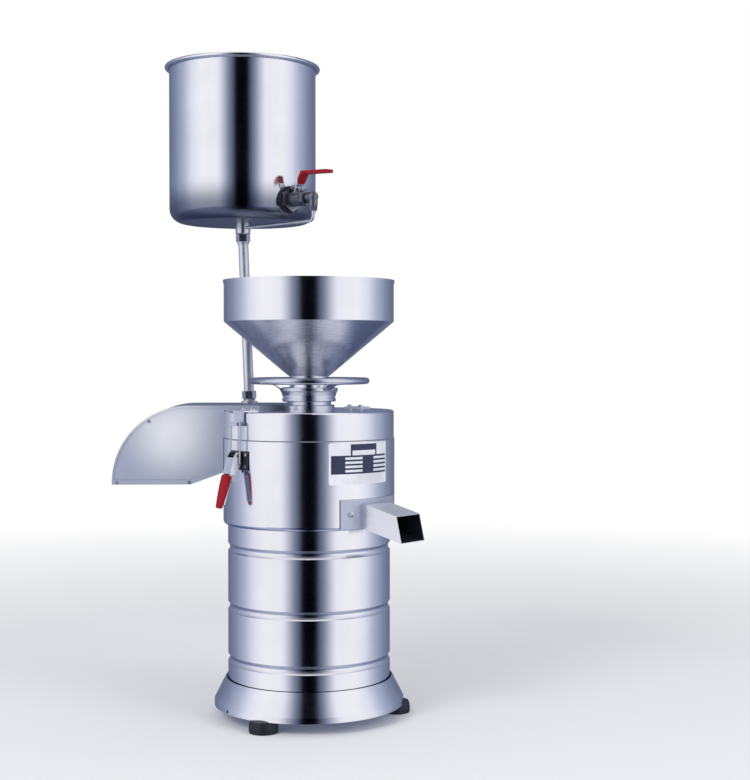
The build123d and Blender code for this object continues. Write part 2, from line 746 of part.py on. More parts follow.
def motor_shaft():
    hub_top = STONE_LEDGE - 2
    return (
        disc(SHAFT_TAIL_RADIUS, FAN_TOP - FAN_HEIGHT, LOWER_BEARING_BOTTOM + LOWER_BEARING_WIDTH)
        + disc(
            SHAFT_BODY_RADIUS,
            LOWER_BEARING_BOTTOM + LOWER_BEARING_WIDTH,
            UPPER_BEARING_TOP - UPPER_BEARING_WIDTH,
        )
        + disc(SHAFT_RADIUS, UPPER_BEARING_TOP - UPPER_BEARING_WIDTH, SEAT_BOTTOM)
        + disc(SHAFT_RADIUS - 1, SEAT_BOTTOM, hub_top)
        + disc(SHAFT_THREAD_RADIUS, hub_top, STONE_LEDGE + SHAFT_THREAD_LENGTH)
    )


def rotor_core():
    core = ring(STATOR_BORE - AIR_GAP, SHAFT_BODY_RADIUS, STATOR_BOTTOM, STATOR_TOP)
    end_ring = ring(STATOR_BORE - 4, STATOR_BORE - 14, STATOR_TOP, STATOR_TOP + 8)
    return core + end_ring + Pos(0, 0, -STATOR_STACK - 8) * end_ring


def cooling_fan():
    """A hub, a disc and straight radial blades below the motor."""
    low = FAN_TOP - FAN_HEIGHT
    fan = disc(FAN_RADIUS, FAN_TOP - 2, FAN_TOP) + disc(16, low, FAN_TOP)
    blade = Pos(0, 0, low) * Box(
        FAN_RADIUS - 14, 2, FAN_HEIGHT - 1, align=(Align.MIN, Align.CENTER, Align.MIN)
    )
    fan += around(FAN_BLADES, 13, blade, 0)
    return fan - disc(SHAFT_TAIL_RADIUS, 0, FAN_TOP)


# Spinning filter and stones


def stone_seat():
    seat = disc(SEAT_RADIUS, SEAT_BOTTOM, SEAT_TOP) + disc(SEAT_HUB_RADIUS, SEAT_TOP, STONE_LEDGE - 2)
    return seat - disc(SHAFT_RADIUS - 1, 0, LID_TOP)


def basket_outline(bottom_radius, top_radius, low, high):
    """A cone filled to the axis."""
    return spun([(0, low), (bottom_radius, low), (top_radius, high), (0, high)])


def filter_basket():
    floor = SEAT_TOP + SHEET
    basket = basket_outline(BASKET_BOTTOM_RADIUS, BASKET_TOP_RADIUS, SEAT_TOP, BASKET_TOP)
    basket += disc(BASKET_TOP_RADIUS + BASKET_RIM, BASKET_TOP - SHEET, BASKET_TOP)
    basket -= basket_outline(
        BASKET_BOTTOM_RADIUS - SHEET, BASKET_TOP_RADIUS - SHEET, floor, BASKET_TOP
    )
    basket -= disc(SEAT_HUB_RADIUS + FIT, SEAT_TOP, floor)
    middle = (floor + BASKET_TOP) / 2
    wide = BASKET_BOTTOM_RADIUS * 2 * math.pi / BASKET_WINDOWS * 0.62
    window = Box(BASKET_TOP_RADIUS, wide, 26, align=OUTWARD)
    rows = [Pos(0, 0, middle + shift) * window for shift in (-17, 17)]
    return basket - [c for row in rows for c in around(BASKET_WINDOWS, 40, row, 0)]


def filter_screen():
    """The fine mesh cone that lines the basket."""
    inset = SHEET + FIT
    low = SEAT_TOP + SHEET + FIT
    outer = basket_outline(BASKET_BOTTOM_RADIUS - inset, BASKET_TOP_RADIUS - inset, low, BASKET_TOP)
    inset += SCREEN_THICKNESS
    return outer - basket_outline(
        BASKET_BOTTOM_RADIUS - inset, BASKET_TOP_RADIUS - inset, low, BASKET_TOP
    )


def furrows(face):
    """Slanted grinding furrows cut into a stone at the height of its grinding face."""
    length = STONE_RADIUS - STONE_EYE - 8
    cutter = Rot(0, 0, 25) * Box(length, FURROW_WIDTH, 2 * FURROW_DEPTH)
    return around(FURROWS, (STONE_RADIUS + STONE_EYE) / 2 + 1, Pos(0, 0, face) * cutter, 0)


def lower_grindstone():
    stone = ring(STONE_RADIUS, SEAT_HUB_RADIUS + FIT, LOWER_STONE_BOTTOM, LOWER_STONE_TOP)
    stone -= disc(STONE_EYE + 1, STONE_LEDGE, LOWER_STONE_TOP)
    return stone - furrows(LOWER_STONE_TOP)


def upper_grindstone():
    stone = ring(STONE_RADIUS, STONE_EYE, UPPER_STONE_BOTTOM, UPPER_STONE_TOP)
    return stone - furrows(UPPER_STONE_BOTTOM)


def stone_nut():
    """The nut that clamps the lower stone, with vanes that push the beans outward."""
    flange = STONE_EYE - 1
    top = STONE_LEDGE + SHAFT_THREAD_LENGTH + 3
    nut = disc(flange, STONE_LEDGE, STONE_LEDGE + 4) + hexagon(24, STONE_LEDGE, top)
    vane = Pos(0, 0, STONE_LEDGE) * Rot(0, 0, 30) * Box(
        12, 3, 12, align=(Align.MIN, Align.CENTER, Align.MIN)
    )
    nut += around(3, 12, vane, 0)
    nut &= disc(flange, 0, LID_TOP)
    return nut - disc(SHAFT_THREAD_RADIUS, 0, top - 2)


# Lid and its neck


def lid():
    inside = LID_RADIUS - SHEET
    skin = disc(LID_RADIUS, LID_BOTTOM, LID_TOP)
    skin = fillet(skin.edges().group_by(Axis.Z)[-1], LID_CORNER)
    hollow = disc(inside, LID_BOTTOM + SHEET, LID_TOP - SHEET)
    hollow = fillet(hollow.edges().group_by(Axis.Z)[-1], LID_CORNER - SHEET)
    skin -= hollow
    skin -= disc(HOUSING_RADIUS - HOUSING_RIM_WIDTH + 1, LID_BOTTOM, LID_BOTTOM + SHEET)
    skin -= disc(NECK_RADIUS + GAP, LID_TOP - SHEET, LID_TOP)
    return skin - sector(
        inside - SHEET,
        LID_RADIUS + SHEET,
        LID_BOTTOM + 2 * SHEET,
        LID_TOP - LID_CORNER - SHEET,
        *RESIDUE_WINDOW,
    )


def lid_neck():
    """The neck welded on the lid: it guides the feed tube and carries the handwheel."""
    bore = FEED_TUBE_RADIUS + GAP
    neck = ring(NECK_FLANGE_RADIUS, bore, LID_TOP, LID_TOP + NECK_FLANGE_HEIGHT)
    neck = chamfer(neck.faces().sort_by(Axis.Z)[-1].outer_wire().edges(), 1)
    neck += ring(NECK_RADIUS, bore, LID_TOP - SHEET - 2, NECK_TOP)
    key = Pos(0, FEED_TUBE_RADIUS - KEY_DEPTH, LID_TOP + NECK_FLANGE_HEIGHT) * Box(
        KEY_WIDTH, KEY_DEPTH + 2, 8, align=(Align.CENTER, Align.MIN, Align.CENTER)
    )
    return neck + key


def feed_tube():
    tube = ring(FEED_TUBE_RADIUS, FEED_TUBE_BORE, UPPER_STONE_TOP, FEED_TUBE_TOP)
    slot = Pos(0, FEED_TUBE_RADIUS - KEY_DEPTH - GAP, LID_TOP + NECK_FLANGE_HEIGHT) * Box(
        KEY_WIDTH + 2 * GAP, KEY_DEPTH + 2, 24, align=(Align.CENTER, Align.MIN, Align.CENTER)
    )
    return tube - slot


def stone_carrier():
    """The plate at the foot of the feed tube that holds the upper stone still."""
    top = UPPER_STONE_TOP + CARRIER_THICKNESS
    plate = ring(STONE_RADIUS + 1, FEED_TUBE_RADIUS, UPPER_STONE_TOP, top)
    plate = chamfer(plate.faces().sort_by(Axis.Z)[-1].outer_wire().edges(), 2)
    reach = STONE_RADIUS - FEED_TUBE_RADIUS - 6
    rib = Pos(0, 0, top) * side_plate([(0, 0), (reach, 0), (0, reach + 3)], 0, 2 * SHEET)
    ribs = around(4, FEED_TUBE_RADIUS - 0.5, rib)
    return plate + [r - disc(FEED_TUBE_RADIUS, 0, HOPPER_TOP) for r in ribs]


def handwheel():
    """A dished wheel: a threaded hub, three broad spokes and a round rim."""
    hub_top = WHEEL_HUB_BOTTOM + WHEEL_HUB_HEIGHT
    bore = FEED_TUBE_RADIUS + GAP
    hub = disc(WHEEL_HUB_RADIUS, WHEEL_HUB_BOTTOM, hub_top)
    hub = chamfer(hub.edges(), 1.5)
    groove = WHEEL_HUB_BOTTOM + 5
    hub -= ring(WHEEL_HUB_RADIUS + 1, WHEEL_HUB_RADIUS - WHEEL_HUB_GROOVE, groove, groove + 3)
    hub -= disc(bore, WHEEL_HUB_BOTTOM, hub_top)
    hub -= disc(NECK_RADIUS + GAP, WHEEL_HUB_BOTTOM, NECK_TOP + GAP)
    rim_centre = WHEEL_RIM_RADIUS - WHEEL_RIM_TUBE
    near = WHEEL_HUB_RADIUS - 2
    low = WHEEL_HUB_BOTTOM + WHEEL_HUB_HEIGHT / 2 - 1
    bend = WHEEL_HUB_RADIUS + 20
    under = WHEEL_RIM_HEIGHT - WHEEL_WEB / 2
    lower = [
        Line((near, low), (WHEEL_HUB_RADIUS, low)),
        ThreePointArc(
            (WHEEL_HUB_RADIUS, low),
            (WHEEL_HUB_RADIUS + 6.5, low + (under - 4 - low) * 0.68),
            (bend, under - 4),
        ),
        Line((bend, under - 4), (rim_centre, under)),
    ]
    upper = [
        Line((rim_centre, under), (rim_centre, under + WHEEL_WEB)),
        Line((rim_centre, under + WHEEL_WEB), (bend - 2, under - 4 + WHEEL_WEB)),
        Line((bend - 2, under - 4 + WHEEL_WEB), (near, low + 2 * WHEEL_WEB)),
        Line((near, low + 2 * WHEEL_WEB), (near, low)),
    ]
    web = spun_edges(lower + upper)
    for bearing in WHEEL_SPOKE_BEARINGS:
        web -= sector(
            WHEEL_HUB_RADIUS + 3,
            rim_centre,
            WHEEL_HUB_BOTTOM,
            WHEEL_RIM_HEIGHT + 2 * WHEEL_WEB,
            bearing + WHEEL_SPOKE_ARC / 2,
            bearing + 120 - WHEEL_SPOKE_ARC / 2,
        )
    rim = Pos(0, 0, WHEEL_RIM_HEIGHT) * Torus(rim_centre, WHEEL_RIM_TUBE)
    return hub + web + rim


def hopper_body(shrink, low, high):
    """The hopper filled to the axis: a cylinder over a cone."""
    return spun([
        (0, low),
        (FEED_TUBE_RADIUS + 1 - shrink, low),
        (HOPPER_RADIUS - shrink, HOPPER_BREAK),
        (HOPPER_RADIUS - shrink, high),
        (0, high),
    ])


def hopper():
    spigot = FEED_TUBE_BORE - GAP
    bowl = hopper_body(0, FEED_TUBE_TOP, HOPPER_TOP)
    bowl += ring(
        HOPPER_RADIUS + HOPPER_SHEET, HOPPER_RADIUS - 0.5, HOPPER_TOP - HOPPER_RIM, HOPPER_TOP
    )
    bowl -= hopper_body(HOPPER_SHEET, FEED_TUBE_TOP + HOPPER_SHEET, HOPPER_TOP)
    bowl += disc(spigot, FEED_TUBE_TOP - HOPPER_SPIGOT, FEED_TUBE_TOP)
    return bowl - disc(spigot - HOPPER_SHEET, 0, FEED_TUBE_TOP + 2 * HOPPER_SHEET)


# Residue hood


def hood_profile():
    """The hood's side outline in the X-Z plane: a flat top, a quarter bend and a slanted floor."""
    centre = HOOD_TOP - HOOD_BEND_RADIUS
    far = HOOD_BEND + HOOD_BEND_RADIUS
    mid = HOOD_BEND_RADIUS * math.sqrt(0.5)
    return make_face(Curve() + [
        Polyline((0, HOOD_FLOOR), (0, HOOD_TOP), (-HOOD_BEND, HOOD_TOP)),
        ThreePointArc(
            (-HOOD_BEND, HOOD_TOP), (-HOOD_BEND - mid, centre + mid), (-far, centre)
        ),
        Polyline(
            (-far, centre),
            (-far, HOOD_LIP),
            (-HOOD_MOUTH_END, HOOD_LIP),
            (-HOOD_FLOOR_START, HOOD_FLOOR),
            (0, HOOD_FLOOR),
        ),
    ])


def hood_plan():
    """The hood seen from above: a box beside the lid and a cover that stops short of the neck."""
    far = HOOD_BEND + HOOD_BEND_RADIUS
    return make_face(Polyline(
        (-far, HOOD_FRONT),
        (-HOOD_COVER_CORNER, HOOD_FRONT),
        (0, HOOD_COVER_CORNER),
        (0, HOOD_BACK),
        (-far, HOOD_BACK),
        close=True,
    ))


def hood_block(inset):
    """The hood as a filled block, its profile and plan both pulled in by an inset."""
    profile = hood_profile()
    plan = hood_plan()
    if inset:
        profile = offset(profile, -inset, kind=Kind.INTERSECTION)
        plan = offset(plan, -inset, kind=Kind.INTERSECTION)
    length = HOOD_BACK + 20
    block = extrude(Plane.XZ * profile, length, both=True)
    return block & extrude(plan, HOOD_TOP + 20)


def hood_hem():
    """The folded edge seen on a side wall: narrow along the bend, deeper along the lip."""
    profile = hood_profile()
    inner = offset(profile, -HOOD_HEM, kind=Kind.INTERSECTION)
    lip = make_face(Polyline(
        (-HOOD_BEND - HOOD_BEND_RADIUS, HOOD_LIP),
        (-HOOD_MOUTH_END, HOOD_LIP),
        (-HOOD_FLOOR_START, HOOD_FLOOR),
        (-HOOD_FLOOR_START, HOOD_FLOOR + HOOD_LIP_HEM),
        (-HOOD_MOUTH_END, HOOD_LIP + HOOD_LIP_HEM),
        (-HOOD_BEND - HOOD_BEND_RADIUS, HOOD_LIP + HOOD_LIP_HEM),
        close=True,
    ))
    band = (profile - inner) + (lip & profile)
    beside = Pos(-HOOD_FLOOR_START - 150, HOOD_TOP / 2) * Rectangle(300, HOOD_TOP)
    return band & beside


def residue_hood():
    hood = hood_block(0) - hood_block(SHEET)
    inner_far = HOOD_BEND + HOOD_BEND_RADIUS - SHEET
    mouth = inner_far - HOOD_MOUTH_END - SHEET
    depth = HOOD_BACK - HOOD_FRONT
    hood -= Pos(-inner_far, HOOD_FRONT + SHEET, HOOD_LIP - SHEET) * Box(
        mouth, depth - 2 * SHEET, 8, align=(Align.MIN, Align.MIN, Align.MIN)
    )
    hem = extrude(Plane.XZ * hood_hem(), HOOD_HEM_THICKNESS)
    hood += Pos(0, HOOD_FRONT, 0) * hem
    hood += Pos(0, HOOD_BACK + HOOD_HEM_THICKNESS, 0) * hem
    hood -= disc(LID_RADIUS, LID_BOTTOM - GAP, LID_TOP)
    return hood - disc(HOUSING_RADIUS + 2 * GAP, 0, LID_BOTTOM - GAP)


def hood_rivet_spots():
    """Rivets on the front wall: one on the bend and one at each end of the lip."""
    turn = math.radians(123)
    circle = HOOD_BEND_RADIUS - HOOD_HEM - 3
    bend = (
        -HOOD_BEND + circle * math.cos(turn),
        HOOD_TOP - HOOD_BEND_RADIUS + circle * math.sin(turn),
    )
    lip = HOOD_LIP + HOOD_LIP_HEM / 2
    return [bend, (-HOOD_BEND - HOOD_BEND_RADIUS + 8, lip), (-HOOD_MOUTH_END - 2, lip)]


def lid_rivets():
    """Round heads: on the hood's front wall and on top of the two latch catches."""
    face = HOOD_FRONT - HOOD_HEM_THICKNESS
    pieces = []
    for x, z in hood_rivet_spots():
        seat = face if z < HOOD_FLOOR else HOOD_FRONT
        head = Cylinder(2.2, 1.2, align=BASE)
        pieces.append(Pos(x, seat, z) * Rot(90, 0, 0) * head)
    screw = fillet(disc(4, 0, 3).edges().group_by(Axis.Z)[-1], 1.5)
    for bearing in LATCH_BEARINGS.values():
        for side in (-1, 1):
            pieces.append(
                station(bearing, LID_RADIUS - 16, LID_TOP + LATCH_STRAP) * Pos(0, side * 11, 0) * screw
            )
    return pieces


# Standpipe and tank


def at_pipe(piece):
    return Pos(PIPE_X, PIPE_Y, 0) * piece


def leaning(piece):
    """The pipe leans: its foot stands nearer the main axis than its top."""
    lean = math.degrees(math.atan(PIPE_LEAN / (PIPE_TOP - HOOD_TOP)))
    return Pos(0, 0, PIPE_TOP) * Rot(0, -lean, 0) * Pos(0, 0, -PIPE_TOP) * piece


def standpipe():
    """The pipe with the flanged nipple that stands on the hood."""
    pipe = leaning(disc(PIPE_RADIUS, HOOD_TOP - 5, PIPE_TOP + 5))
    pipe += Pos(PIPE_LEAN, 0, 0) * disc(
        PIPE_FLANGE_RADIUS, HOOD_TOP, HOOD_TOP + PIPE_FLANGE_THICKNESS
    )
    pipe -= leaning(disc(PIPE_RADIUS - PIPE_WALL, HOOD_TOP - 5, PIPE_TOP + 5))
    return at_pipe(pipe & disc(4 * PIPE_FLANGE_RADIUS, HOOD_TOP, PIPE_TOP))


def union_nut(low):
    """A hexagon nut with a conical collar above and below."""
    collar = 4
    nut = hexagon(UNION_FLATS, low, low + UNION_HEIGHT)
    nut += Pos(0, 0, low - collar) * Cone(
        PIPE_RADIUS + 0.8, UNION_FLATS / 2, collar, align=BASE
    )
    return leaning(nut - disc(PIPE_RADIUS, 0, TANK_BOTTOM)) & disc(2 * UNION_FLATS, 0, PIPE_TOP)


def pipe_unions():
    return [at_pipe(union_nut(low)) for low in (LOWER_UNION_BOTTOM, UPPER_UNION_BOTTOM)]


def tank_socket():
    socket = disc(SOCKET_RADIUS, PIPE_TOP, TANK_BOTTOM)
    return at_pipe(chamfer(socket.edges().group_by(Axis.Z)[0], 1.5))


def tank_body(shrink, low, high):
    body = disc(TANK_RADIUS - shrink, low, high)
    return fillet(body.edges().group_by(Axis.Z)[0], TANK_CORNER - shrink)


def water_tank():
    """A drawn pot with rounded bottom corners and a rolled rim."""
    top = TANK_BOTTOM + TANK_HEIGHT
    pot = tank_body(0, TANK_BOTTOM, top)
    lip = TANK_RIM_RADIUS - TANK_BEAD
    pot += disc(lip, top - SHEET, top) + Pos(0, 0, top - TANK_BEAD) * Torus(lip, TANK_BEAD)
    pot -= tank_body(TANK_SHEET, TANK_BOTTOM + TANK_SHEET, top)
    pot -= disc(TANK_RADIUS - TANK_SHEET, top - 2 * TANK_BEAD, top)
    hole = station(VALVE_BEARING, 0, VALVE_HEIGHT) * outward_rod(
        VALVE_THREAD_RADIUS + FIT, TANK_RADIUS - 20, TANK_RADIUS + 20
    )
    return at_pipe(pot - hole)


# Water valve


def at_valve(piece):
    """The local X axis runs outward along the valve, and Z up."""
    return tank_station(VALVE_BEARING, 0, VALVE_HEIGHT) * piece


def valve_gasket():
    face = TANK_RADIUS + VALVE_GASKET_THICKNESS
    washer = outward_rod(VALVE_GASKET_RADIUS, TANK_RADIUS - 6, face)
    washer = fillet(washer.edges().group_by(Axis.X)[-1], 1)
    washer -= outward_rod(VALVE_THREAD_RADIUS, 0, face)
    return at_valve(washer - disc(TANK_RADIUS, -40, 40))


def valve_locknut():
    """The outer hexagon nut and the inner one behind the wall."""
    face = TANK_RADIUS + VALVE_GASKET_THICKNESS
    thread = outward_rod(VALVE_THREAD_RADIUS, 0, 2 * TANK_RADIUS)
    outer = outward_hexagon(VALVE_NUT_FLATS, face, face + VALVE_NUT_THICKNESS) - thread
    wall = TANK_RADIUS - TANK_SHEET
    sag = wall - math.sqrt(wall**2 - (VALVE_NUT_FLATS / math.sqrt(3)) ** 2)
    inner_face = wall - sag
    inner = outward_hexagon(VALVE_NUT_FLATS - 6, inner_face - VALVE_NUT_THICKNESS, inner_face)
    return [at_valve(outer), at_valve(inner - thread)]


def valve_body():
    start = TANK_RADIUS + VALVE_GASKET_THICKNESS + VALVE_NUT_THICKNESS
    end = TANK_RADIUS + VALVE_LENGTH
    stem = TANK_RADIUS + VALVE_STEM_OFFSET
    outlet = TANK_RADIUS + VALVE_OUTLET_OFFSET
    top = LEVER_HEIGHT - VALVE_HEIGHT - 2
    bottom = -VALVE_OUTLET_DROP
    body = outward_rod(VALVE_THREAD_RADIUS, TANK_RADIUS - 12, start)
    body += outward_rod(VALVE_BODY_RADIUS, start, stem + 16)
    body += outward_hexagon(22, stem + 16, end - 12)
    body += outward_rod(VALVE_OUTLET_RADIUS + 1, end - 12, outlet)
    body += Pos(stem, 0, 0) * disc(VALVE_STEM_RADIUS + 3, 0, top)
    body += Pos(outlet, 0, 0) * Sphere(VALVE_OUTLET_RADIUS + 1)
    body += Pos(outlet, 0, 0) * disc(VALVE_OUTLET_RADIUS, bottom + 7, 0)
    body += Pos(outlet, 0, 0) * hexagon(2 * VALVE_OUTLET_RADIUS - 3, bottom, bottom + 7)
    bore = outward_rod(VALVE_THREAD_RADIUS - 3, TANK_RADIUS - 20, outlet)
    bore += Pos(outlet, 0, 0) * disc(WATER_TUBE_RADIUS, bottom - 1, 0)
    bore += Pos(stem, 0, 0) * Sphere(VALVE_BODY_RADIUS - 2)
    bore += Pos(stem, 0, 0) * disc(VALVE_STEM_RADIUS + FIT, 0, top)
    return at_valve(body - bore)


def valve_ball():
    """The bored ball and its stem."""
    stem = TANK_RADIUS + VALVE_STEM_OFFSET
    top = LEVER_HEIGHT - VALVE_HEIGHT
    ball = Sphere(VALVE_BODY_RADIUS - 2 - GAP)
    ball -= outward_rod(VALVE_THREAD_RADIUS - 3, -20, 20)
    stem_bar = disc(VALVE_STEM_RADIUS, VALVE_BODY_RADIUS - 4, top + LEVER_THICKNESS + 4)
    return at_valve(Pos(stem, 0, 0) * (ball + stem_bar))


def at_lever(piece):
    """The local origin is on the stem's axis, at the underside of the lever."""
    return at_valve(
        Pos(TANK_RADIUS + VALVE_STEM_OFFSET, 0, LEVER_HEIGHT - VALVE_HEIGHT) * piece
    )


def lever_outline(start, grow=0):
    """The lever's side view from a distance out from the stem: flat, ramp, then the long run."""
    ramp_end = LEVER_KNEE + LEVER_RAMP
    steep = LEVER_RISE / LEVER_RAMP
    shift = grow * (math.hypot(1, steep) - 1) / steep
    below = [
        (start, -grow + steep * max(0, start - LEVER_KNEE)),
        (LEVER_KNEE + shift, -grow),
        (ramp_end + shift, LEVER_RISE - grow),
        (LEVER_LENGTH + grow, LEVER_RISE - LEVER_DROOP - grow),
    ]
    above = [
        (start, LEVER_THICKNESS + grow + steep * max(0, start - LEVER_KNEE)),
        (LEVER_KNEE - shift - LEVER_THICKNESS / 2, LEVER_THICKNESS + grow),
        (ramp_end - shift - LEVER_THICKNESS / 2, LEVER_RISE + LEVER_THICKNESS + grow),
        (LEVER_LENGTH + grow, LEVER_RISE + LEVER_THICKNESS - LEVER_DROOP + grow),
    ]
    return below + list(reversed(above))


def valve_lever():
    lever = side_plate(lever_outline(-LEVER_TAIL), 0, LEVER_WIDTH)
    return at_lever(lever - disc(VALVE_STEM_RADIUS, -LEVER_THICKNESS, 2 * LEVER_THICKNESS))


def lever_sleeve():
    """The soft sleeve over the lever's ramp and its long run."""
    width = LEVER_WIDTH + 2 * SLEEVE_WALL
    sleeve = side_plate(lever_outline(-LEVER_TAIL, SLEEVE_WALL), 0, width)
    sleeve = fillet(sleeve.edges().group_by(Axis.X)[-1], SLEEVE_WALL)
    sleeve &= Pos(LEVER_KNEE + 4, 0, 0) * Box(
        LEVER_LENGTH, 2 * width, 4 * LEVER_RISE, align=OUTWARD
    )
    return at_lever(sleeve - side_plate(lever_outline(-LEVER_TAIL), 0, LEVER_WIDTH))


def water_tube():
    """A bent tube from the valve outlet, under the tank, back to the socket."""
    outlet = TANK_RADIUS + VALVE_OUTLET_OFFSET
    low = WATER_TUBE_HEIGHT - VALVE_HEIGHT
    start = -VALVE_OUTLET_DROP + 4
    path = FilletPolyline(
        (outlet, 0, start), (outlet, 0, low), (SOCKET_RADIUS, 0, low), radius=8
    )
    section = Plane(origin=(outlet, 0, start), z_dir=(0, 0, -1)) * Circle(WATER_TUBE_RADIUS)
    return at_valve(sweep(section, path=path))


# Toggle latches


def latch_ear(side):
    eye = 2 * LATCH_PIN_RADIUS
    outline = [
        (HOUSING_RADIUS, LATCH_PIVOT_HEIGHT - 2.5 * eye),
        (LATCH_PIVOT_RADIUS + eye / 2, LATCH_PIVOT_HEIGHT - eye),
        (LATCH_PIVOT_RADIUS + eye, LATCH_PIVOT_HEIGHT),
        (LATCH_PIVOT_RADIUS + eye / 2, LATCH_PIVOT_HEIGHT + eye),
        (HOUSING_RADIUS, LATCH_PIVOT_HEIGHT + 1.5 * eye),
    ]
    return side_plate(outline, side * (LATCH_EAR_HALF - SHEET / 2), SHEET)


def latch_bases():
    """Curved base plates on the housing wall, with two ears and the lever's pivot pin."""
    half_arc = math.degrees(LATCH_BASE_WIDTH / 2 / HOUSING_RADIUS)
    pieces = []
    for bearing in LATCH_BEARINGS.values():
        plate = sector(
            HOUSING_RADIUS,
            HOUSING_RADIUS + SHEET,
            LATCH_BASE_BOTTOM,
            LATCH_BASE_TOP,
            bearing - half_arc,
            bearing + half_arc,
        )
        ears = [station(bearing) * latch_ear(side) for side in (-1, 1)]
        pin = station(bearing, LATCH_PIVOT_RADIUS, LATCH_PIVOT_HEIGHT) * rod(
            LATCH_PIN_RADIUS, LATCH_LEVER_HALF
        )
        pieces.append(plate + ears + pin - disc(HOUSING_RADIUS + FIT / 2, 0, LID_TOP))
    return pieces


def latch_rivets():
    """Four round heads on each base plate."""
    head = outward_rod(LATCH_RIVET_RADIUS, 0, LATCH_RIVET_RADIUS / 2)
    inset = LATCH_RIVET_INSET
    heights = (LATCH_BASE_BOTTOM + inset, LATCH_BASE_TOP - inset)
    pieces = []
    for bearing in LATCH_BEARINGS.values():
        for side in (-1, 1):
            arc = math.degrees((LATCH_BASE_WIDTH / 2 - inset) / HOUSING_RADIUS)
            for height in heights:
                place = station(bearing + side * arc, HOUSING_RADIUS + SHEET, height)
                pieces.append(place * head)
    return pieces


def latch_lever(bearing):
    """A channel lever: two cheeks, a front web, the bail pin and a flat tang behind the grip."""
    pivot = (LATCH_PIVOT_RADIUS, LATCH_PIVOT_HEIGHT)
    end = (LATCH_PIVOT_RADIUS + 9.5, LATCH_PIVOT_HEIGHT - LATCH_GRIP_TOP)
    outline = [
        (pivot[0] - 4, pivot[1] + 4),
        (pivot[0] + 2, pivot[1] + 6),
        (pivot[0] + 7, pivot[1] - 2),
        (end[0] + 4, end[1] + 1),
        (end[0] - 3, end[1] - 1),
        (LATCH_BAIL_RADIUS - 3, LATCH_BAIL_HEIGHT - 4),
        (LATCH_BAIL_RADIUS - 4, LATCH_BAIL_HEIGHT),
    ]
    cheeks = [
        side_plate(outline, side * (LATCH_LEVER_HALF - SHEET / 2), SHEET) for side in (-1, 1)
    ]
    web = [(pivot[0] + 7, pivot[1] - 2), (end[0] + 4, end[1] + 1)]
    web += [(x - SHEET, z) for x, z in reversed(web)]
    lean = math.radians(LATCH_GRIP_LEAN)
    reach = LATCH_GRIP_LENGTH - 7
    neck = (end[0] - 1, end[1] - 3)
    tip = (neck[0] + reach * math.sin(lean), neck[1] - reach * math.cos(lean))
    tang = [
        (end[0] + 4 - SHEET, end[1] + 4),
        (end[0] + 4, end[1] + 1),
        (neck[0] + LATCH_TANG, neck[1]),
        (tip[0] + LATCH_TANG, tip[1]),
        tip,
        neck,
    ]
    lever = cheeks[0] + cheeks[1]
    lever += side_plate(web, 0, 2 * LATCH_LEVER_HALF)
    lever += side_plate(tang, 0, LATCH_GRIP_WIDTH - 5)
    lever += Pos(LATCH_BAIL_RADIUS, 0, LATCH_BAIL_HEIGHT) * rod(LATCH_PIN_RADIUS, LATCH_LEVER_HALF)
    lever -= Pos(pivot[0], 0, pivot[1]) * rod(LATCH_PIN_RADIUS + FIT, 2 * LATCH_LEVER_HALF)
    return station(bearing) * lever


def latch_grip(bearing):
    """The moulded grip: a tapered, rounded bar on the outside of the lever's tang."""
    end_x = LATCH_PIVOT_RADIUS + 13
    end_z = LATCH_PIVOT_HEIGHT - LATCH_GRIP_TOP - 1.5
    top = Rectangle(9, LATCH_GRIP_WIDTH)
    middle = Rectangle(8.5, LATCH_GRIP_WIDTH - 2)
    tip = Rectangle(7, LATCH_GRIP_WIDTH - 7)
    sections = [
        Plane.XY * fillet(top.vertices(), 3),
        Pos(0, 0, -LATCH_GRIP_LENGTH * 0.55) * fillet(middle.vertices(), 3),
        Pos(0, 0, -LATCH_GRIP_LENGTH) * fillet(tip.vertices(), 3),
    ]
    grip = loft(sections)
    grip = fillet(grip.faces().sort_by(Axis.Z)[0].edges(), 2.5)
    place = station(bearing) * Pos(end_x, 0, end_z) * Rot(0, -LATCH_GRIP_LEAN, 0)
    return place * grip - latch_lever(bearing)


def latch_bail(bearing):
    """A wire loop: the bar in the catch's hook, two legs and the inturned ends."""
    top = (LATCH_HOOK_RADIUS, LATCH_HOOK_HEIGHT)
    low = (LATCH_BAIL_RADIUS, LATCH_BAIL_HEIGHT)
    tip = LATCH_LEVER_HALF + GAP
    route = FilletPolyline(
        (low[0], -tip, low[1]),
        (low[0], -LATCH_WIRE_HALF, low[1]),
        (top[0], -LATCH_WIRE_HALF, top[1]),
        (top[0], LATCH_WIRE_HALF, top[1]),
        (low[0], LATCH_WIRE_HALF, low[1]),
        (low[0], tip, low[1]),
        radius=1.7,
    )
    section = Plane(origin=(low[0], -tip, low[1]), z_dir=(0, -1, 0)) * Circle(LATCH_WIRE_RADIUS)
    return station(bearing) * sweep(section, path=route)


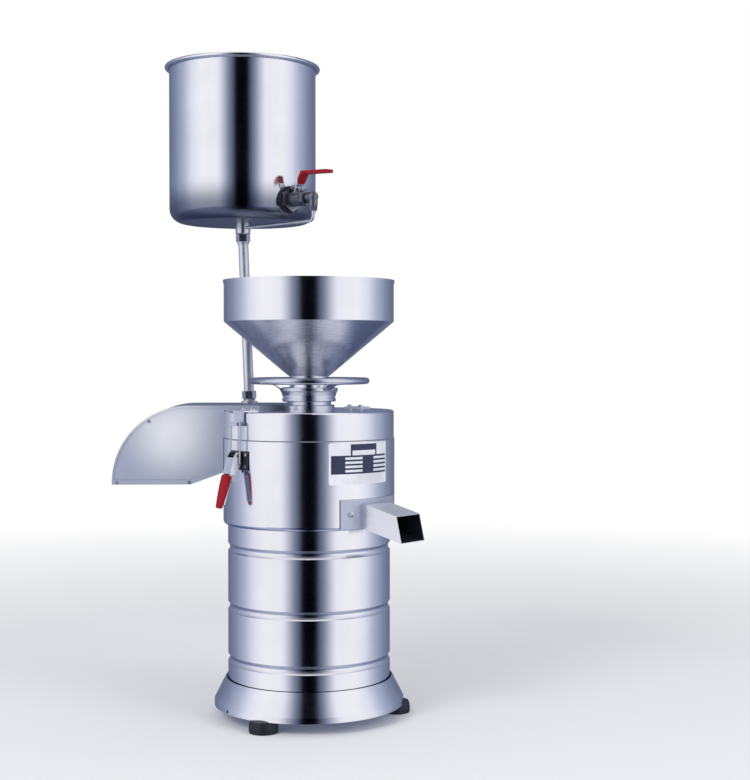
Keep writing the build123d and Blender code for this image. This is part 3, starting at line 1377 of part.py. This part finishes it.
def latch_catch(bearing):
    """A strap over the lid's edge that ends in an upturned hook."""
    back = LID_RADIUS
    floor = LATCH_HOOK_HEIGHT - LATCH_WIRE_RADIUS - GAP
    tip = LATCH_HOOK_RADIUS + LATCH_WIRE_RADIUS + GAP
    thick = LATCH_STRAP
    under = floor - thick
    top_leg = Pos(back - LATCH_STRAP_REACH, 0, LID_TOP + thick / 2) * Box(
        LATCH_STRAP_REACH + thick, LATCH_STRAP_WIDTH + 8, thick, align=OUTWARD
    )
    strap = side_plate(
        [(back, under), (back + thick, under), (back + thick, LID_TOP + thick), (back, LID_TOP + thick)],
        0,
        LATCH_STRAP_WIDTH,
    )
    hook = side_plate(
        [
            (back, under),
            (tip + thick, under),
            (tip + thick, floor + LATCH_HOOK_LIP),
            (tip, floor + LATCH_HOOK_LIP),
            (tip, floor),
            (back, floor),
        ],
        0,
        2 * (LATCH_WIRE_HALF - LATCH_WIRE_RADIUS - 2),
    )
    return station(bearing) * (top_leg + strap + hook)


def latch_catches():
    return [latch_catch(bearing) for bearing in LATCH_BEARINGS.values()]


# Rear fittings


def at_switch(piece):
    return station(SWITCH_BEARING, CASING_RADIUS, REAR_FITTING_HEIGHT) * piece


def power_switch_body():
    """A rocker switch's case: a bezel that fits the round casing and a box behind it."""
    bezel = Pos(-4, 0, 0) * Box(7, SWITCH_WIDTH + 6, SWITCH_HEIGHT + 6, align=OUTWARD)
    bezel = fillet(bezel.edges().group_by(Axis.X)[-1], 1)
    bezel -= Pos(-CASING_RADIUS, 0, 0) * disc(CASING_RADIUS, -40, 40)
    case = Pos(-SWITCH_DEPTH, 0, 0) * Box(SWITCH_DEPTH + 2, SWITCH_WIDTH, SWITCH_HEIGHT, align=OUTWARD)
    well = Pos(-8, 0, 0) * Box(20, SWITCH_WIDTH - 4, SWITCH_HEIGHT - 2, align=OUTWARD)
    tabs = [Pos(-SWITCH_DEPTH - 8, side * 7, 0) * Box(9, 1, 6, align=OUTWARD) for side in (-1, 1)]
    pivot = rod(ROCKER_PIN + FIT, SWITCH_WIDTH / 2 - 1 + FIT)
    return at_switch(bezel + case - well - pivot + tabs)


def switch_rocker():
    """The rocker: two flat faces that meet over its pivot."""
    face = [(-4, -8), (5.5, -8.6), (3.5, 0), (5.5, 8.6), (-4, 8)]
    rocker = side_plate(face, 0, SWITCH_WIDTH - 4 - 2 * GAP) + rod(ROCKER_PIN, SWITCH_WIDTH / 2 - 1)
    return at_switch(Rot(0, ROCKER_TILT, 0) * rocker)


def cable_gland():
    """The mains inlet: a threaded barrel, a hexagon collar, a dome nut and an inner nut."""
    inside = CASING_RADIUS - SHEET
    face = CASING_RADIUS + 0.5
    gland = outward_rod(GLAND_RADIUS, inside - 8, face + GLAND_LENGTH)
    gland += outward_hexagon(2.6 * GLAND_RADIUS, face, face + 5)
    gland += outward_rod(GLAND_RADIUS * 1.2, face + 6, face + GLAND_LENGTH - 2)
    gland += outward_hexagon(2.6 * GLAND_RADIUS, inside - 6, inside - 1)
    gland -= outward_rod(GLAND_RADIUS - 4, inside - 9, face + GLAND_LENGTH + 1)
    return station(GLAND_BEARING, 0, REAR_FITTING_HEIGHT) * gland


def write(name, shape):
    """One file for each sub-part: a single solid, or a group of separate ones."""
    pieces = list(shape) if isinstance(shape, (list, tuple)) else [shape]
    solids = [solid for piece in pieces for solid in piece.solids()]
    body = solids[0] if len(solids) == 1 else Compound(children=solids)
    export_step(body, os.path.join("parts", name + ".step"))


def main():
    os.makedirs("parts", exist_ok=True)
    single = (
        rubber_feet, foot_fasteners, base_skirt, base_plate, motor_casing, chamber_housing,
        residue_ring, lid_seal, milk_spout, spout_gasket, spout_fasteners, upper_end_shield,
        lower_end_shield, stator_core, stator_windings, motor_fasteners, motor_bearings,
        shaft_seal, run_capacitor, motor_shaft, rotor_core, cooling_fan, stone_seat,
        filter_basket, filter_screen, lower_grindstone, upper_grindstone, stone_nut, lid,
        lid_neck, feed_tube, stone_carrier, handwheel, hopper, residue_hood, lid_rivets,
        standpipe, pipe_unions, tank_socket, water_tank, valve_gasket, valve_locknut,
        valve_body, valve_ball, valve_lever, lever_sleeve, water_tube, latch_bases,
        latch_rivets, latch_catches, power_switch_body, switch_rocker, cable_gland,
    )
    for make in single:
        write(make.__name__, make())
    for side, bearing in LATCH_BEARINGS.items():
        for make in (latch_lever, latch_grip, latch_bail):
            write(f"{make.__name__}_{side}", make(bearing))


main()
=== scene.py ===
import math

import bmesh
import bpy
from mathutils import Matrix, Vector


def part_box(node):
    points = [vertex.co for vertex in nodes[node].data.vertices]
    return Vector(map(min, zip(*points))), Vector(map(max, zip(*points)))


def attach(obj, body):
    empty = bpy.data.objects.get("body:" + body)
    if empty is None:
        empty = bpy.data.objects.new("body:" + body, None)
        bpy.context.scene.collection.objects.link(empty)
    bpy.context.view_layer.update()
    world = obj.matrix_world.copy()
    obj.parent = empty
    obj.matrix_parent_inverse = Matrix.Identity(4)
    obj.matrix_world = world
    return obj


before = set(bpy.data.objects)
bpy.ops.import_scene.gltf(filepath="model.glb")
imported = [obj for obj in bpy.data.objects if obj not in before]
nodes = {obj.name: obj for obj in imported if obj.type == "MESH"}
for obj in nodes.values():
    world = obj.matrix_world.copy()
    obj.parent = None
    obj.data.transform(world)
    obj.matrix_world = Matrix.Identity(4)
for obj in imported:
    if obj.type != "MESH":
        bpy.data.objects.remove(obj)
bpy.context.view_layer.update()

# Sizes repeated from the solids, in metres and degrees.
# A bearing is an angle seen from above, from the front (0) to the right (90).
HOUSING_RADIUS = 0.132
SPOUT_BEARING = 47
SPOUT_ROOT_RISE = 0.0215
SPOUT_SLOPE = 13

# Where painted shade darkens the steel. The tank's foot goes by the height above its bottom, the hood by
# the distance from the middle of its side, the spout's inside by half its width and height to the middle
# of the sheet, and the spout's flange by how far out it lies.
TANK_FOOT = (0.012, 0.07)
HOOD_MIDDLE = (-0.207, 0.0, 0.435)
HOOD_FADE = (0.0, 0.1)
SPOUT_INSIDE = (0.0264, 0.0179)
SPOUT_FLANGE = (0.138, 0.143)

POLISHED = (0.88, 0.885, 0.93)
# Colours of painted shade: on the tank's foot, the hood's and spout's sheet, the hood's top and inside the
# spout.
FOOT_PAINTED_SHADE = (0.16, 0.18, 0.25)
SHEET_PAINTED_SHADE = (0.36, 0.4, 0.54)
HOOD_TOP_PAINTED_SHADE = (0.2, 0.23, 0.34)
SPOUT_PAINTED_SHADE = (0.03, 0.034, 0.05)

# How much the brushing is squeezed along X, Y and Z: lines that run round, and lines that stand upright
BRUSHED_ROUND = (4, 4, 260)
BRUSHED_UPRIGHT = (160, 8, 8)

# Rating plate on the housing: bearings and heights. The table's columns are dark, ruled, dark and ruled.
PLATE_BEARINGS = (12.5, 60.2)
PLATE_HEIGHTS = (0.364, 0.4255)
PLATE_SKIN = (HOUSING_RADIUS + 0.00005, HOUSING_RADIUS + 0.0007)
PLATE_CORNER = 0.003
CORNER_STEPS = (0.0, 0.15, 0.4, 0.7)
RULE_SKIN = (PLATE_SKIN[1] - 0.00005, PLATE_SKIN[1] + 0.00006)
TABLE_COLUMNS = (13.9, 23.5, 36.5, 46.0, 59.0)
TABLE_HEIGHTS = (0.3797, 0.407)
TABLE_ROWS = 4
TABLE_RULE = 0.0027
HEADING = (27.4, 49.0, 0.4142, 0.4235)
HEADING_BORDER = 1.3

# Camera: the photograph's place, with the image 750 x 780
IMAGE_LONG_SIDE = 780
FOCAL_PIXELS = 1449
SENSOR_WIDTH = 36
CAMERA_PLACE = (0.0, -2.241, 0.5495)
CAMERA_PITCH = 1.249
CAMERA_YAW = 2.607

# Studio
WHITE = (1, 1, 1, 1)
ROOM_LIGHT = (0.62, 0.63, 0.66, 1)
LAMPS = (
    ("key_light", (-1.9, -2.1, 2.3), 1.4, 36),
    ("fill_light", (2.2, -1.8, 1.6), 1.6, 20),
)
LAMP_TARGET = (-0.05, 0, 0.5)
FLOOR_COLOUR = (0.93, 0.935, 0.945)
FLOOR_RADIUS = 9
FLOOR_SIDES = 96
FLOOR_FADE = (0.9, 2.6)
CARD_RADIUS = 5
CARD_SIDES = 180
CARD_LOW = -1.5
CARD_HIGH = 9
WALL_CARD_SHARE = (1.0, 1.0, 1.0)
FLOOR_CARD_SHARE = (0.44, 0.48, 0.6)
# How bright the studio is round the object, by the angle from the camera's side: a dark gap
# behind the camera, a broad white card on each side of it, and a blue-grey room beyond
CARD_TONES = (
    (0, (0.0, 0.0, 0.001)),
    (9, (0.0, 0.001, 0.004)),
    (21, (0.24, 0.27, 0.39)),
    (37, (0.95, 0.95, 1.0)),
    (66, (1.0, 1.0, 1.03)),
    (84, (0.82, 0.84, 0.94)),
    (102, (0.46, 0.5, 0.64)),
    (125, (0.24, 0.28, 0.4)),
    (148, (0.15, 0.18, 0.28)),
    (180, (0.17, 0.2, 0.3)),
)


def make_camera():
    data = bpy.data.cameras.new("photo_camera")
    data.sensor_width = SENSOR_WIDTH
    data.lens = FOCAL_PIXELS / IMAGE_LONG_SIDE * SENSOR_WIDTH
    data.clip_end = 60
    camera = bpy.data.objects.new("photo_camera", data)
    bpy.context.scene.collection.objects.link(camera)
    camera.location = CAMERA_PLACE
    camera.rotation_euler = (math.radians(90 - CAMERA_PITCH), 0, math.radians(-CAMERA_YAW))
    bpy.context.scene.camera = camera


# Nodes of a material


def feed(tree, socket, value):
    """Links an output to a socket, or sets the socket's own value."""
    if hasattr(value, "is_output"):
        tree.links.new(value, socket)
    else:
        socket.default_value = value


def mix_colours(tree, factor, first, second):
    """Goes from the first colour to the second while the factor goes from 0 to 1."""
    mix = tree.nodes.new("ShaderNodeMix")
    mix.data_type = "RGBA"
    feed(tree, mix.inputs["Factor"], factor)
    colours = [socket for socket in mix.inputs if socket.type == "RGBA"]
    feed(tree, colours[0], first)
    feed(tree, colours[1], second)
    return [socket for socket in mix.outputs if socket.type == "RGBA"][0]


class Paint:
    """Builds one node material. The values are the shader's own, with _ for a space."""

    def __init__(self, name, **values):
        self.material = bpy.data.materials.new(name)
        self.material.use_nodes = True
        self.tree = self.material.node_tree
        self.shader = self.tree.nodes["Principled BSDF"]
        for key, value in values.items():
            self.shader.inputs[key.replace("_", " ")].default_value = value
        place = self.tree.nodes.new("ShaderNodeTexCoord")
        self.coords = place.outputs["Object"]
        self.normal = place.outputs["Normal"]

    def node(self, kind, **inputs):
        made = self.tree.nodes.new(kind)
        for key, value in inputs.items():
            feed(self.tree, made.inputs[key.replace("_", " ")], value)
        return made

    def link(self, output, name):
        self.tree.links.new(output, self.shader.inputs[name])

    def part(self, vector, axis):
        return self.node("ShaderNodeSeparateXYZ", Vector=vector).outputs[axis]

    def length(self, vector):
        made = self.node("ShaderNodeVectorMath", Vector=vector)
        made.operation = "LENGTH"
        return made.outputs["Value"]

    def stretched(self, x, y, z):
        mapping = self.node("ShaderNodeMapping", Vector=self.coords)
        mapping.inputs["Scale"].default_value = (x, y, z)
        return mapping.outputs["Vector"]

    def noise(self, scale, detail=3.0, roughness=0.5, vector=None):
        made = self.node("ShaderNodeTexNoise", Vector=vector or self.coords, Scale=scale, Detail=detail)
        made.inputs["Roughness"].default_value = roughness
        return made.outputs["Fac"]

    def compute(self, operation, *values):
        made = self.tree.nodes.new("ShaderNodeMath")
        made.operation = operation
        for socket, value in zip(made.inputs, values):
            feed(self.tree, socket, value)
        return made.outputs["Value"]

    def span(self, value, low, high, start=0.3, stop=0.7):
        """Goes from low to high while the value goes from start to stop."""
        made = self.node("ShaderNodeMapRange", Value=value)
        made.inputs["From Min"].default_value = start
        made.inputs["From Max"].default_value = stop
        made.inputs["To Min"].default_value = low
        made.inputs["To Max"].default_value = high
        return made.outputs["Result"]

    def soft_span(self, value, low, high, start, stop):
        """A span that starts and ends gently."""
        made = self.span(value, low, high, start, stop)
        made.node.interpolation_type = "SMOOTHERSTEP"
        return made

    def ramp(self, value, stops):
        made = self.node("ShaderNodeValToRGB", Fac=value)
        elements = made.color_ramp.elements
        while len(elements) < len(stops):
            elements.new(0.5)
        for element, (place, colour) in zip(elements, stops):
            element.position = place
            element.color = (*colour, 1)
        return made.outputs["Color"]

    def fade(self, mask, colour):
        """Turns the base colour to another one where the mask is 1."""
        now = self.shader.inputs["Base Color"].links[0].from_socket
        self.link(mix_colours(self.tree, mask, now, (*colour, 1)), "Base Color")

    def dull(self, mask, amount):
        """Adds roughness where the mask is 1."""
        now = self.shader.inputs["Roughness"].links[0].from_socket
        self.link(self.compute("ADD", now, self.compute("MULTIPLY", mask, amount)), "Roughness")

    def bump(self, height, strength, distance):
        made = self.node("ShaderNodeBump", Height=height, Strength=strength, Distance=distance)
        self.link(made.outputs["Normal"], "Normal")


def steel(name, colour, roughness, spread, brush, lines_run=BRUSHED_ROUND, metallic=1.0):
    """Bare steel: a fine one-way brushing, faint smears, and a roughness that varies by the spread."""
    paint = Paint(name, Metallic=metallic, Roughness=roughness)
    lines = paint.noise(9, 2, 0.6, paint.stretched(*lines_run))
    smear = paint.noise(14, 4, 0.6)
    dark = tuple(c * 0.93 for c in colour)
    paint.link(paint.ramp(smear, [(0.3, dark), (0.7, colour)]), "Base Color")
    line_share = paint.compute("MULTIPLY", lines, 0.6)
    smear_share = paint.compute("MULTIPLY", smear, 0.4)
    uneven = paint.compute("ADD", line_share, smear_share)
    paint.link(paint.span(uneven, roughness - spread, roughness + spread), "Roughness")
    paint.bump(lines, brush, 0.0002)
    return paint


def hopper_steel():
    """The wall is polished and the cone under it is left duller."""
    paint = steel("hopper_steel", POLISHED, 0.13, 0.035, 0.006)
    under = paint.span(paint.part(paint.normal, "Z"), 1.0, 0.0, -0.6, -0.2)
    paint.dull(under, 0.13)
    return paint


def tank_steel():
    """A polished pot whose foot and underside are dull, and darkened with painted shade."""
    paint = steel("tank_steel", POLISHED, 0.12, 0.03, 0.02)
    under = paint.span(paint.part(paint.normal, "Z"), 1.0, 0.0, -0.8, -0.1)
    paint.dull(under, 0.25)
    height = paint.part(paint.coords, "Z")
    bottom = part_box("water_tank")[0].z
    start, stop = (bottom + rise for rise in TANK_FOOT)
    # Painted shade: the foot and underside darken towards a dark blue-grey.
    paint.fade(paint.soft_span(height, 0.92, 0.0, start, stop), FOOT_PAINTED_SHADE)
    return paint


def hood_steel():
    """Plain sheet with a painted sheen: pale in the middle of the side wall, painted shade near its edges
    and on top.
    """
    paint = steel("hood_steel", (0.94, 0.955, 0.99), 0.55, 0.05, 0.1, BRUSHED_UPRIGHT, metallic=0.35)
    shift = paint.node("ShaderNodeMapping", Vector=paint.coords)
    shift.inputs["Location"].default_value = [-value for value in HOOD_MIDDLE]
    shift.inputs["Scale"].default_value = (1.0, 0.0, 1.0)
    away = paint.length(shift.outputs["Vector"])
    # Painted shade towards the side wall's edges, leaving a painted pale sheen in the middle.
    paint.fade(paint.soft_span(away, 0.0, 0.85, *HOOD_FADE), SHEET_PAINTED_SHADE)
    # Painted shade on the faces that look up.
    paint.fade(paint.span(paint.part(paint.normal, "Z"), 0.0, 0.9, 0.15, 0.6), HOOD_TOP_PAINTED_SHADE)
    return paint


def spout_steel():
    """Plain sheet: painted shade on the flange, and dark painted shade inside the duct."""
    paint = steel("spout_steel", (0.82, 0.835, 0.88), 0.3, 0.05, 0.1, BRUSHED_UPRIGHT, metallic=0.55)
    turn = paint.node("ShaderNodeMapping", Vector=paint.coords)
    turn.inputs["Rotation"].default_value = (0, 0, math.radians(90 - SPOUT_BEARING))
    along, across, height = (paint.part(turn.outputs["Vector"], axis) for axis in "XYZ")
    reach = paint.compute("SUBTRACT", along, HOUSING_RADIUS)
    drop = paint.compute("MULTIPLY", reach, math.tan(math.radians(SPOUT_SLOPE)))
    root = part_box("chamber_housing")[0].z + SPOUT_ROOT_RISE
    rise = paint.compute("ADD", paint.compute("SUBTRACT", height, root), drop)
    between = paint.compute("LESS_THAN", paint.compute("ABSOLUTE", across), SPOUT_INSIDE[0])
    under = paint.compute("LESS_THAN", paint.compute("ABSOLUTE", rise), SPOUT_INSIDE[1])
    # Painted shade on the flange.
    paint.fade(paint.span(along, 0.7, 0.0, *SPOUT_FLANGE), SHEET_PAINTED_SHADE)
    # Painted shade inside the duct.
    paint.fade(paint.compute("MULTIPLY", between, under), SPOUT_PAINTED_SHADE)
    return paint


def casing_steel():
    """Polished between the rolled grooves, duller in them."""
    paint = steel("casing_steel", POLISHED, 0.13, 0.035, 0.02)
    tilt = paint.compute("ABSOLUTE", paint.part(paint.normal, "Z"))
    paint.dull(paint.span(tilt, 0.0, 1.0, 0.05, 0.3), 0.17)
    return paint


def moulded(name, colour, roughness, grain_scale, strength, coat=0.0, shine=0.5):
    """Rubber, plastic or paint: a fine grain, and uneven dull patches."""
    paint = Paint(name, Roughness=roughness, Specular_IOR_Level=shine)
    patches = paint.noise(30, 4, 0.6)
    light = tuple(min(1, c * 1.35 + 0.004) for c in colour)
    paint.link(paint.ramp(patches, [(0.3, colour), (0.75, light)]), "Base Color")
    paint.link(paint.span(patches, roughness - 0.07, roughness + 0.07), "Roughness")
    paint.bump(paint.noise(grain_scale, 2), strength, 0.0003)
    if coat:
        paint.shader.inputs["Coat Weight"].default_value = coat
        paint.shader.inputs["Coat Roughness"].default_value = 0.2
    return paint


def cast_metal(name, colour, roughness, scale, strength, metallic=1.0):
    """A grainy casting, or stone where it isn't metallic."""
    paint = Paint(name, Metallic=metallic)
    grain = paint.noise(scale, 5, 0.65)
    light = tuple(min(1, c * 1.25) for c in colour)
    paint.link(paint.ramp(grain, [(0.3, colour), (0.7, light)]), "Base Color")
    paint.link(paint.span(grain, roughness - 0.1, roughness + 0.1), "Roughness")
    paint.bump(grain, strength, 0.0004)
    return paint


def layered(name, dark, light, scale, squeeze, metallic, roughness):
    """Fine layers or turns: laminations, winding wire and the filter's mesh."""
    paint = Paint(name, Metallic=metallic, Roughness=roughness)
    bands = paint.node("ShaderNodeTexWave", Vector=paint.stretched(*squeeze), Scale=scale)
    bands.inputs["Distortion"].default_value = 0.6
    paint.link(paint.ramp(bands.outputs["Fac"], [(0.2, dark), (0.8, light)]), "Base Color")
    paint.bump(bands.outputs["Fac"], 0.6, 0.0006)
    return paint


def make_materials():
    paints = {
        "polished": steel("polished_steel", POLISHED, 0.13, 0.035, 0.02),
        "hopper": hopper_steel(),
        "tank": tank_steel(),
        "hood": hood_steel(),
        "spout": spout_steel(),
        "casing": casing_steel(),
        "turned": steel("turned_steel", (0.66, 0.68, 0.75), 0.17, 0.04, 0.04),
        "sheet": steel("sheet_steel", POLISHED, 0.26, 0.05, 0.06),
        "satin": steel("satin_steel", (0.86, 0.87, 0.92), 0.42, 0.06, 0.12, BRUSHED_UPRIGHT),
        "bright": steel("machined_steel", (0.78, 0.79, 0.83), 0.22, 0.05, 0.1),
        "plate": moulded("plate_silver", (0.68, 0.69, 0.74), 0.38, 900, 0.08),
        "ink": moulded("plate_ink", (0.016, 0.02, 0.06), 0.4, 900, 0.05),
        "valve": cast_metal("valve_metal", (0.2, 0.205, 0.24), 0.34, 220, 0.2),
        "cast": cast_metal("cast_aluminium", (0.55, 0.56, 0.58), 0.5, 400, 0.4),
        "iron": layered("laminated_iron", (0.1, 0.1, 0.11), (0.3, 0.3, 0.32), 300, (0, 0, 1), 1.0, 0.45),
        "copper": layered("copper_wire", (0.25, 0.08, 0.03), (0.7, 0.3, 0.12), 300, (0, 0, 1), 0.8, 0.35),
        "mesh": layered("filter_mesh", (0.2, 0.2, 0.22), (0.75, 0.76, 0.8), 500, (1, 1, 1), 1.0, 0.35),
        "stone": cast_metal("grindstone", (0.6, 0.58, 0.53), 0.85, 900, 0.5, metallic=0.0),
        "rubber": moulded("black_rubber", (0.006, 0.008, 0.016), 0.5, 900, 0.2),
        "silicone": moulded("grey_silicone", (0.17, 0.18, 0.23), 0.5, 700, 0.1),
        "black": moulded("black_plastic", (0.012, 0.012, 0.015), 0.4, 1100, 0.2),
        "black_steel": moulded("black_steel", (0.012, 0.014, 0.022), 0.35, 500, 0.15, coat=0.3),
        "grey": moulded("grey_plastic", (0.4, 0.41, 0.43), 0.45, 900, 0.2),
        "red": moulded("red_plastic", (0.26, 0.002, 0.009), 0.42, 700, 0.12, shine=0.2),
    }
    return {name: paint.material for name, paint in paints.items()}


NODE_MATERIALS = {
    "polished": ("base_skirt", "chamber_housing", "residue_ring", "filter_basket", "lid", "feed_tube"),
    "turned": ("lid_neck", "handwheel"),
    "casing": ("motor_casing",),
    "hopper": ("hopper",),
    "tank": ("water_tank",),
    "hood": ("residue_hood",),
    "spout": ("milk_spout",),
    "sheet": ("latch_catches", "latch_lever_left", "latch_lever_right"),
    "satin": ("standpipe", "water_tube", "lid_rivets"),
    "bright": (
        "foot_fasteners", "base_plate", "spout_fasteners", "motor_fasteners", "motor_bearings",
        "latch_rivets", "motor_shaft", "stone_seat", "stone_nut", "pipe_unions",
        "tank_socket", "stone_carrier", "valve_ball", "valve_lever", "latch_bail_left", "latch_bail_right",
    ),
    "valve": ("valve_body", "valve_locknut"),
    "cast": ("upper_end_shield", "lower_end_shield"),
    "iron": ("stator_core", "rotor_core"),
    "copper": ("stator_windings",),
    "mesh": ("filter_screen",),
    "stone": ("lower_grindstone", "upper_grindstone"),
    "rubber": ("rubber_feet", "spout_gasket", "shaft_seal", "valve_gasket"),
    "silicone": ("lid_seal",),
    "black": ("run_capacitor", "power_switch_body", "cable_gland"),
    "black_steel": ("latch_bases",),
    "grey": ("cooling_fan",),
    "red": ("latch_grip_left", "latch_grip_right", "lever_sleeve", "switch_rocker"),
}


def dress_nodes(materials):
    for name, members in NODE_MATERIALS.items():
        for member in members:
            slots = nodes[member].material_slots
            if not slots:
                nodes[member].data.materials.append(materials[name])
            for slot in slots:
                slot.material = materials[name]


# Rating plate: a ruled table with nothing written in it


def curved_slab(mesh, columns, skin):
    """A slab wrapped on the housing. Each column is a bearing with its low and high end."""
    rings = []
    for bearing, low, high in columns:
        angle = math.radians(bearing)
        out = (math.sin(angle), -math.cos(angle))
        corners = [(skin[0], low), (skin[1], low), (skin[1], high), (skin[0], high)]
        rings.append([mesh.verts.new((out[0] * r, out[1] * r, z)) for r, z in corners])
    for near, far in zip(rings, rings[1:]):
        for i in range(4):
            j = (i + 1) % 4
            mesh.faces.new((near[i], far[i], far[j], near[j]))
    mesh.faces.new(rings[0])
    mesh.faces.new(reversed(rings[-1]))


def spread(start, stop, step=2.0):
    """Bearings from start to stop, at most a step apart."""
    count = max(1, math.ceil((stop - start) / step))
    return [start + (stop - start) * i / count for i in range(count + 1)]


def patch(mesh, start, stop, low, high):
    """A printed patch on the plate."""
    curved_slab(mesh, [(bearing, low, high) for bearing in spread(start, stop)], RULE_SKIN)


def make_piece(name, mesh, material, body):
    data = bpy.data.meshes.new(name)
    bmesh.ops.recalc_face_normals(mesh, faces=mesh.faces)
    mesh.to_mesh(data)
    mesh.free()
    piece = bpy.data.objects.new(name, data)
    bpy.context.scene.collection.objects.link(piece)
    data.materials.append(material)
    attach(piece, body)


def plate_columns():
    """The plate's outline with rounded corners."""
    start, stop = PLATE_BEARINGS
    low, high = PLATE_HEIGHTS
    turn = math.degrees(PLATE_CORNER / PLATE_SKIN[1])
    ends = []
    for step in CORNER_STEPS:
        inset = PLATE_CORNER * (1 - math.sqrt(1 - (1 - step) ** 2))
        ends.append((step * turn, low + inset, high - inset))
    left = [(start + at, bottom, top) for at, bottom, top in ends]
    middle = [(bearing, low, high) for bearing in spread(start + turn, stop - turn)]
    right = [(stop - at, bottom, top) for at, bottom, top in reversed(ends)]
    return left + middle + right


def make_rating_plate(materials):
    plate = bmesh.new()
    curved_slab(plate, plate_columns(), PLATE_SKIN)
    make_piece("rating_plate", plate, materials["plate"], "stand")
    rules = bmesh.new()
    low, high = TABLE_HEIGHTS
    for start, stop in (TABLE_COLUMNS[0:2], TABLE_COLUMNS[2:4]):
        patch(rules, start, stop, low, high)
    pitch = (high - low - TABLE_RULE) / TABLE_ROWS
    for start, stop in (TABLE_COLUMNS[1:3], TABLE_COLUMNS[3:5]):
        for row in range(TABLE_ROWS + 1):
            patch(rules, start, stop, low + row * pitch, low + row * pitch + TABLE_RULE)
    start, stop, under, top = HEADING
    patch(rules, start, stop, under, top)
    for near in (start, stop - HEADING_BORDER):
        patch(rules, near, near + HEADING_BORDER, high, under)
    make_piece("rating_plate_rules", rules, materials["ink"], "stand")


# Studio


def show_emission(paint, colour, share=None):
    """Makes a material glow, wholly or by a share."""
    glow = paint.node("ShaderNodeEmission", Color=colour)
    output = paint.tree.nodes["Material Output"].inputs["Surface"]
    if share is None:
        paint.tree.links.new(glow.outputs["Emission"], output)
        return
    mix = paint.node("ShaderNodeMixShader", Fac=share)
    paint.tree.links.new(paint.shader.outputs["BSDF"], mix.inputs[1])
    paint.tree.links.new(glow.outputs["Emission"], mix.inputs[2])
    paint.tree.links.new(mix.outputs["Shader"], output)


def make_floor():
    """A pale floor that keeps the object's shadow and fades to the white backdrop farther out."""
    bpy.ops.mesh.primitive_circle_add(vertices=FLOOR_SIDES, radius=FLOOR_RADIUS, fill_type="NGON")
    floor = bpy.context.object
    floor.name = "studio_floor"
    paint = Paint("studio_floor", Roughness=0.9, Specular_IOR_Level=0.0)
    lighter = tuple(c * 1.01 for c in FLOOR_COLOUR)
    paint.link(paint.ramp(paint.noise(1.5, 2), [(0.2, FLOOR_COLOUR), (0.8, lighter)]), "Base Color")
    share = paint.span(paint.length(paint.coords), 0.0, 1.0, *FLOOR_FADE)
    seen = paint.node("ShaderNodeLightPath").outputs["Is Camera Ray"]
    show_emission(paint, WHITE, paint.compute("MULTIPLY", share, seen))
    floor.data.materials.append(paint.material)
    floor.visible_glossy = False


def card_paint(name, share):
    """Glows as bright as the studio is at each angle from the front, times a share of each colour."""
    paint = Paint(name)
    side = paint.compute("ABSOLUTE", paint.part(paint.coords, "X"))
    front = paint.compute("MULTIPLY", paint.part(paint.coords, "Y"), -1.0)
    angle = paint.compute("DIVIDE", paint.compute("ARCTAN2", side, front), math.pi)
    stops = [
        (degrees / 180, tuple(min(1, channel * weight) for channel, weight in zip(tone, share)))
        for degrees, tone in CARD_TONES
    ]
    show_emission(paint, paint.ramp(angle, stops))
    return paint


def finish_card(name, share):
    """Names the newest object and makes it a card that shows only in reflections."""
    card = bpy.context.object
    card.name = name
    card.data.materials.append(card_paint(name, share).material)
    card.visible_camera = False
    card.visible_diffuse = False
    card.visible_shadow = False
    card.visible_transmission = False


def make_cards():
    """A round wall of studio cards and a dimmer one underfoot."""
    bpy.ops.mesh.primitive_cylinder_add(
        vertices=CARD_SIDES,
        radius=CARD_RADIUS,
        depth=CARD_HIGH - CARD_LOW,
        end_fill_type="NOTHING",
        location=(0, 0, (CARD_HIGH + CARD_LOW) / 2),
    )
    finish_card("studio_cards", WALL_CARD_SHARE)
    bpy.ops.mesh.primitive_circle_add(
        vertices=CARD_SIDES, radius=CARD_RADIUS, fill_type="NGON", location=(0, 0, CARD_LOW)
    )
    finish_card("floor_card", FLOOR_CARD_SHARE)


def make_world():
    """A plain grey room for the light, and white for what the camera and reflections see."""
    world = bpy.data.worlds.new("studio")
    bpy.context.scene.world = world
    world.use_nodes = True
    tree = world.node_tree
    background = tree.nodes["Background"]
    path = tree.nodes.new("ShaderNodeLightPath")
    seen = path.outputs["Is Camera Ray"]
    for name in ("Is Glossy Ray", "Is Transmission Ray"):
        both = tree.nodes.new("ShaderNodeMath")
        both.operation = "MAXIMUM"
        tree.links.new(seen, both.inputs[0])
        tree.links.new(path.outputs[name], both.inputs[1])
        seen = both.outputs["Value"]
    feed(tree, background.inputs["Color"], mix_colours(tree, seen, ROOM_LIGHT, WHITE))
    background.inputs["Strength"].default_value = 1.0


def make_lamp(name, place, size, power):
    """A square soft light, left out of reflections because the cards are there for them."""
    data = bpy.data.lights.new(name, "AREA")
    data.shape = "SQUARE"
    data.size = size
    data.energy = power
    lamp = bpy.data.objects.new(name, data)
    bpy.context.scene.collection.objects.link(lamp)
    lamp.location = place
    aim = Vector(LAMP_TARGET) - Vector(place)
    lamp.rotation_euler = aim.to_track_quat("-Z", "Y").to_euler()
    lamp.visible_glossy = False


bpy.context.scene.view_settings.view_transform = "Standard"
make_camera()
materials = make_materials()
dress_nodes(materials)
make_rating_plate(materials)
make_floor()
make_cards()
make_world()
for lamp in LAMPS:
    make_lamp(*lamp)
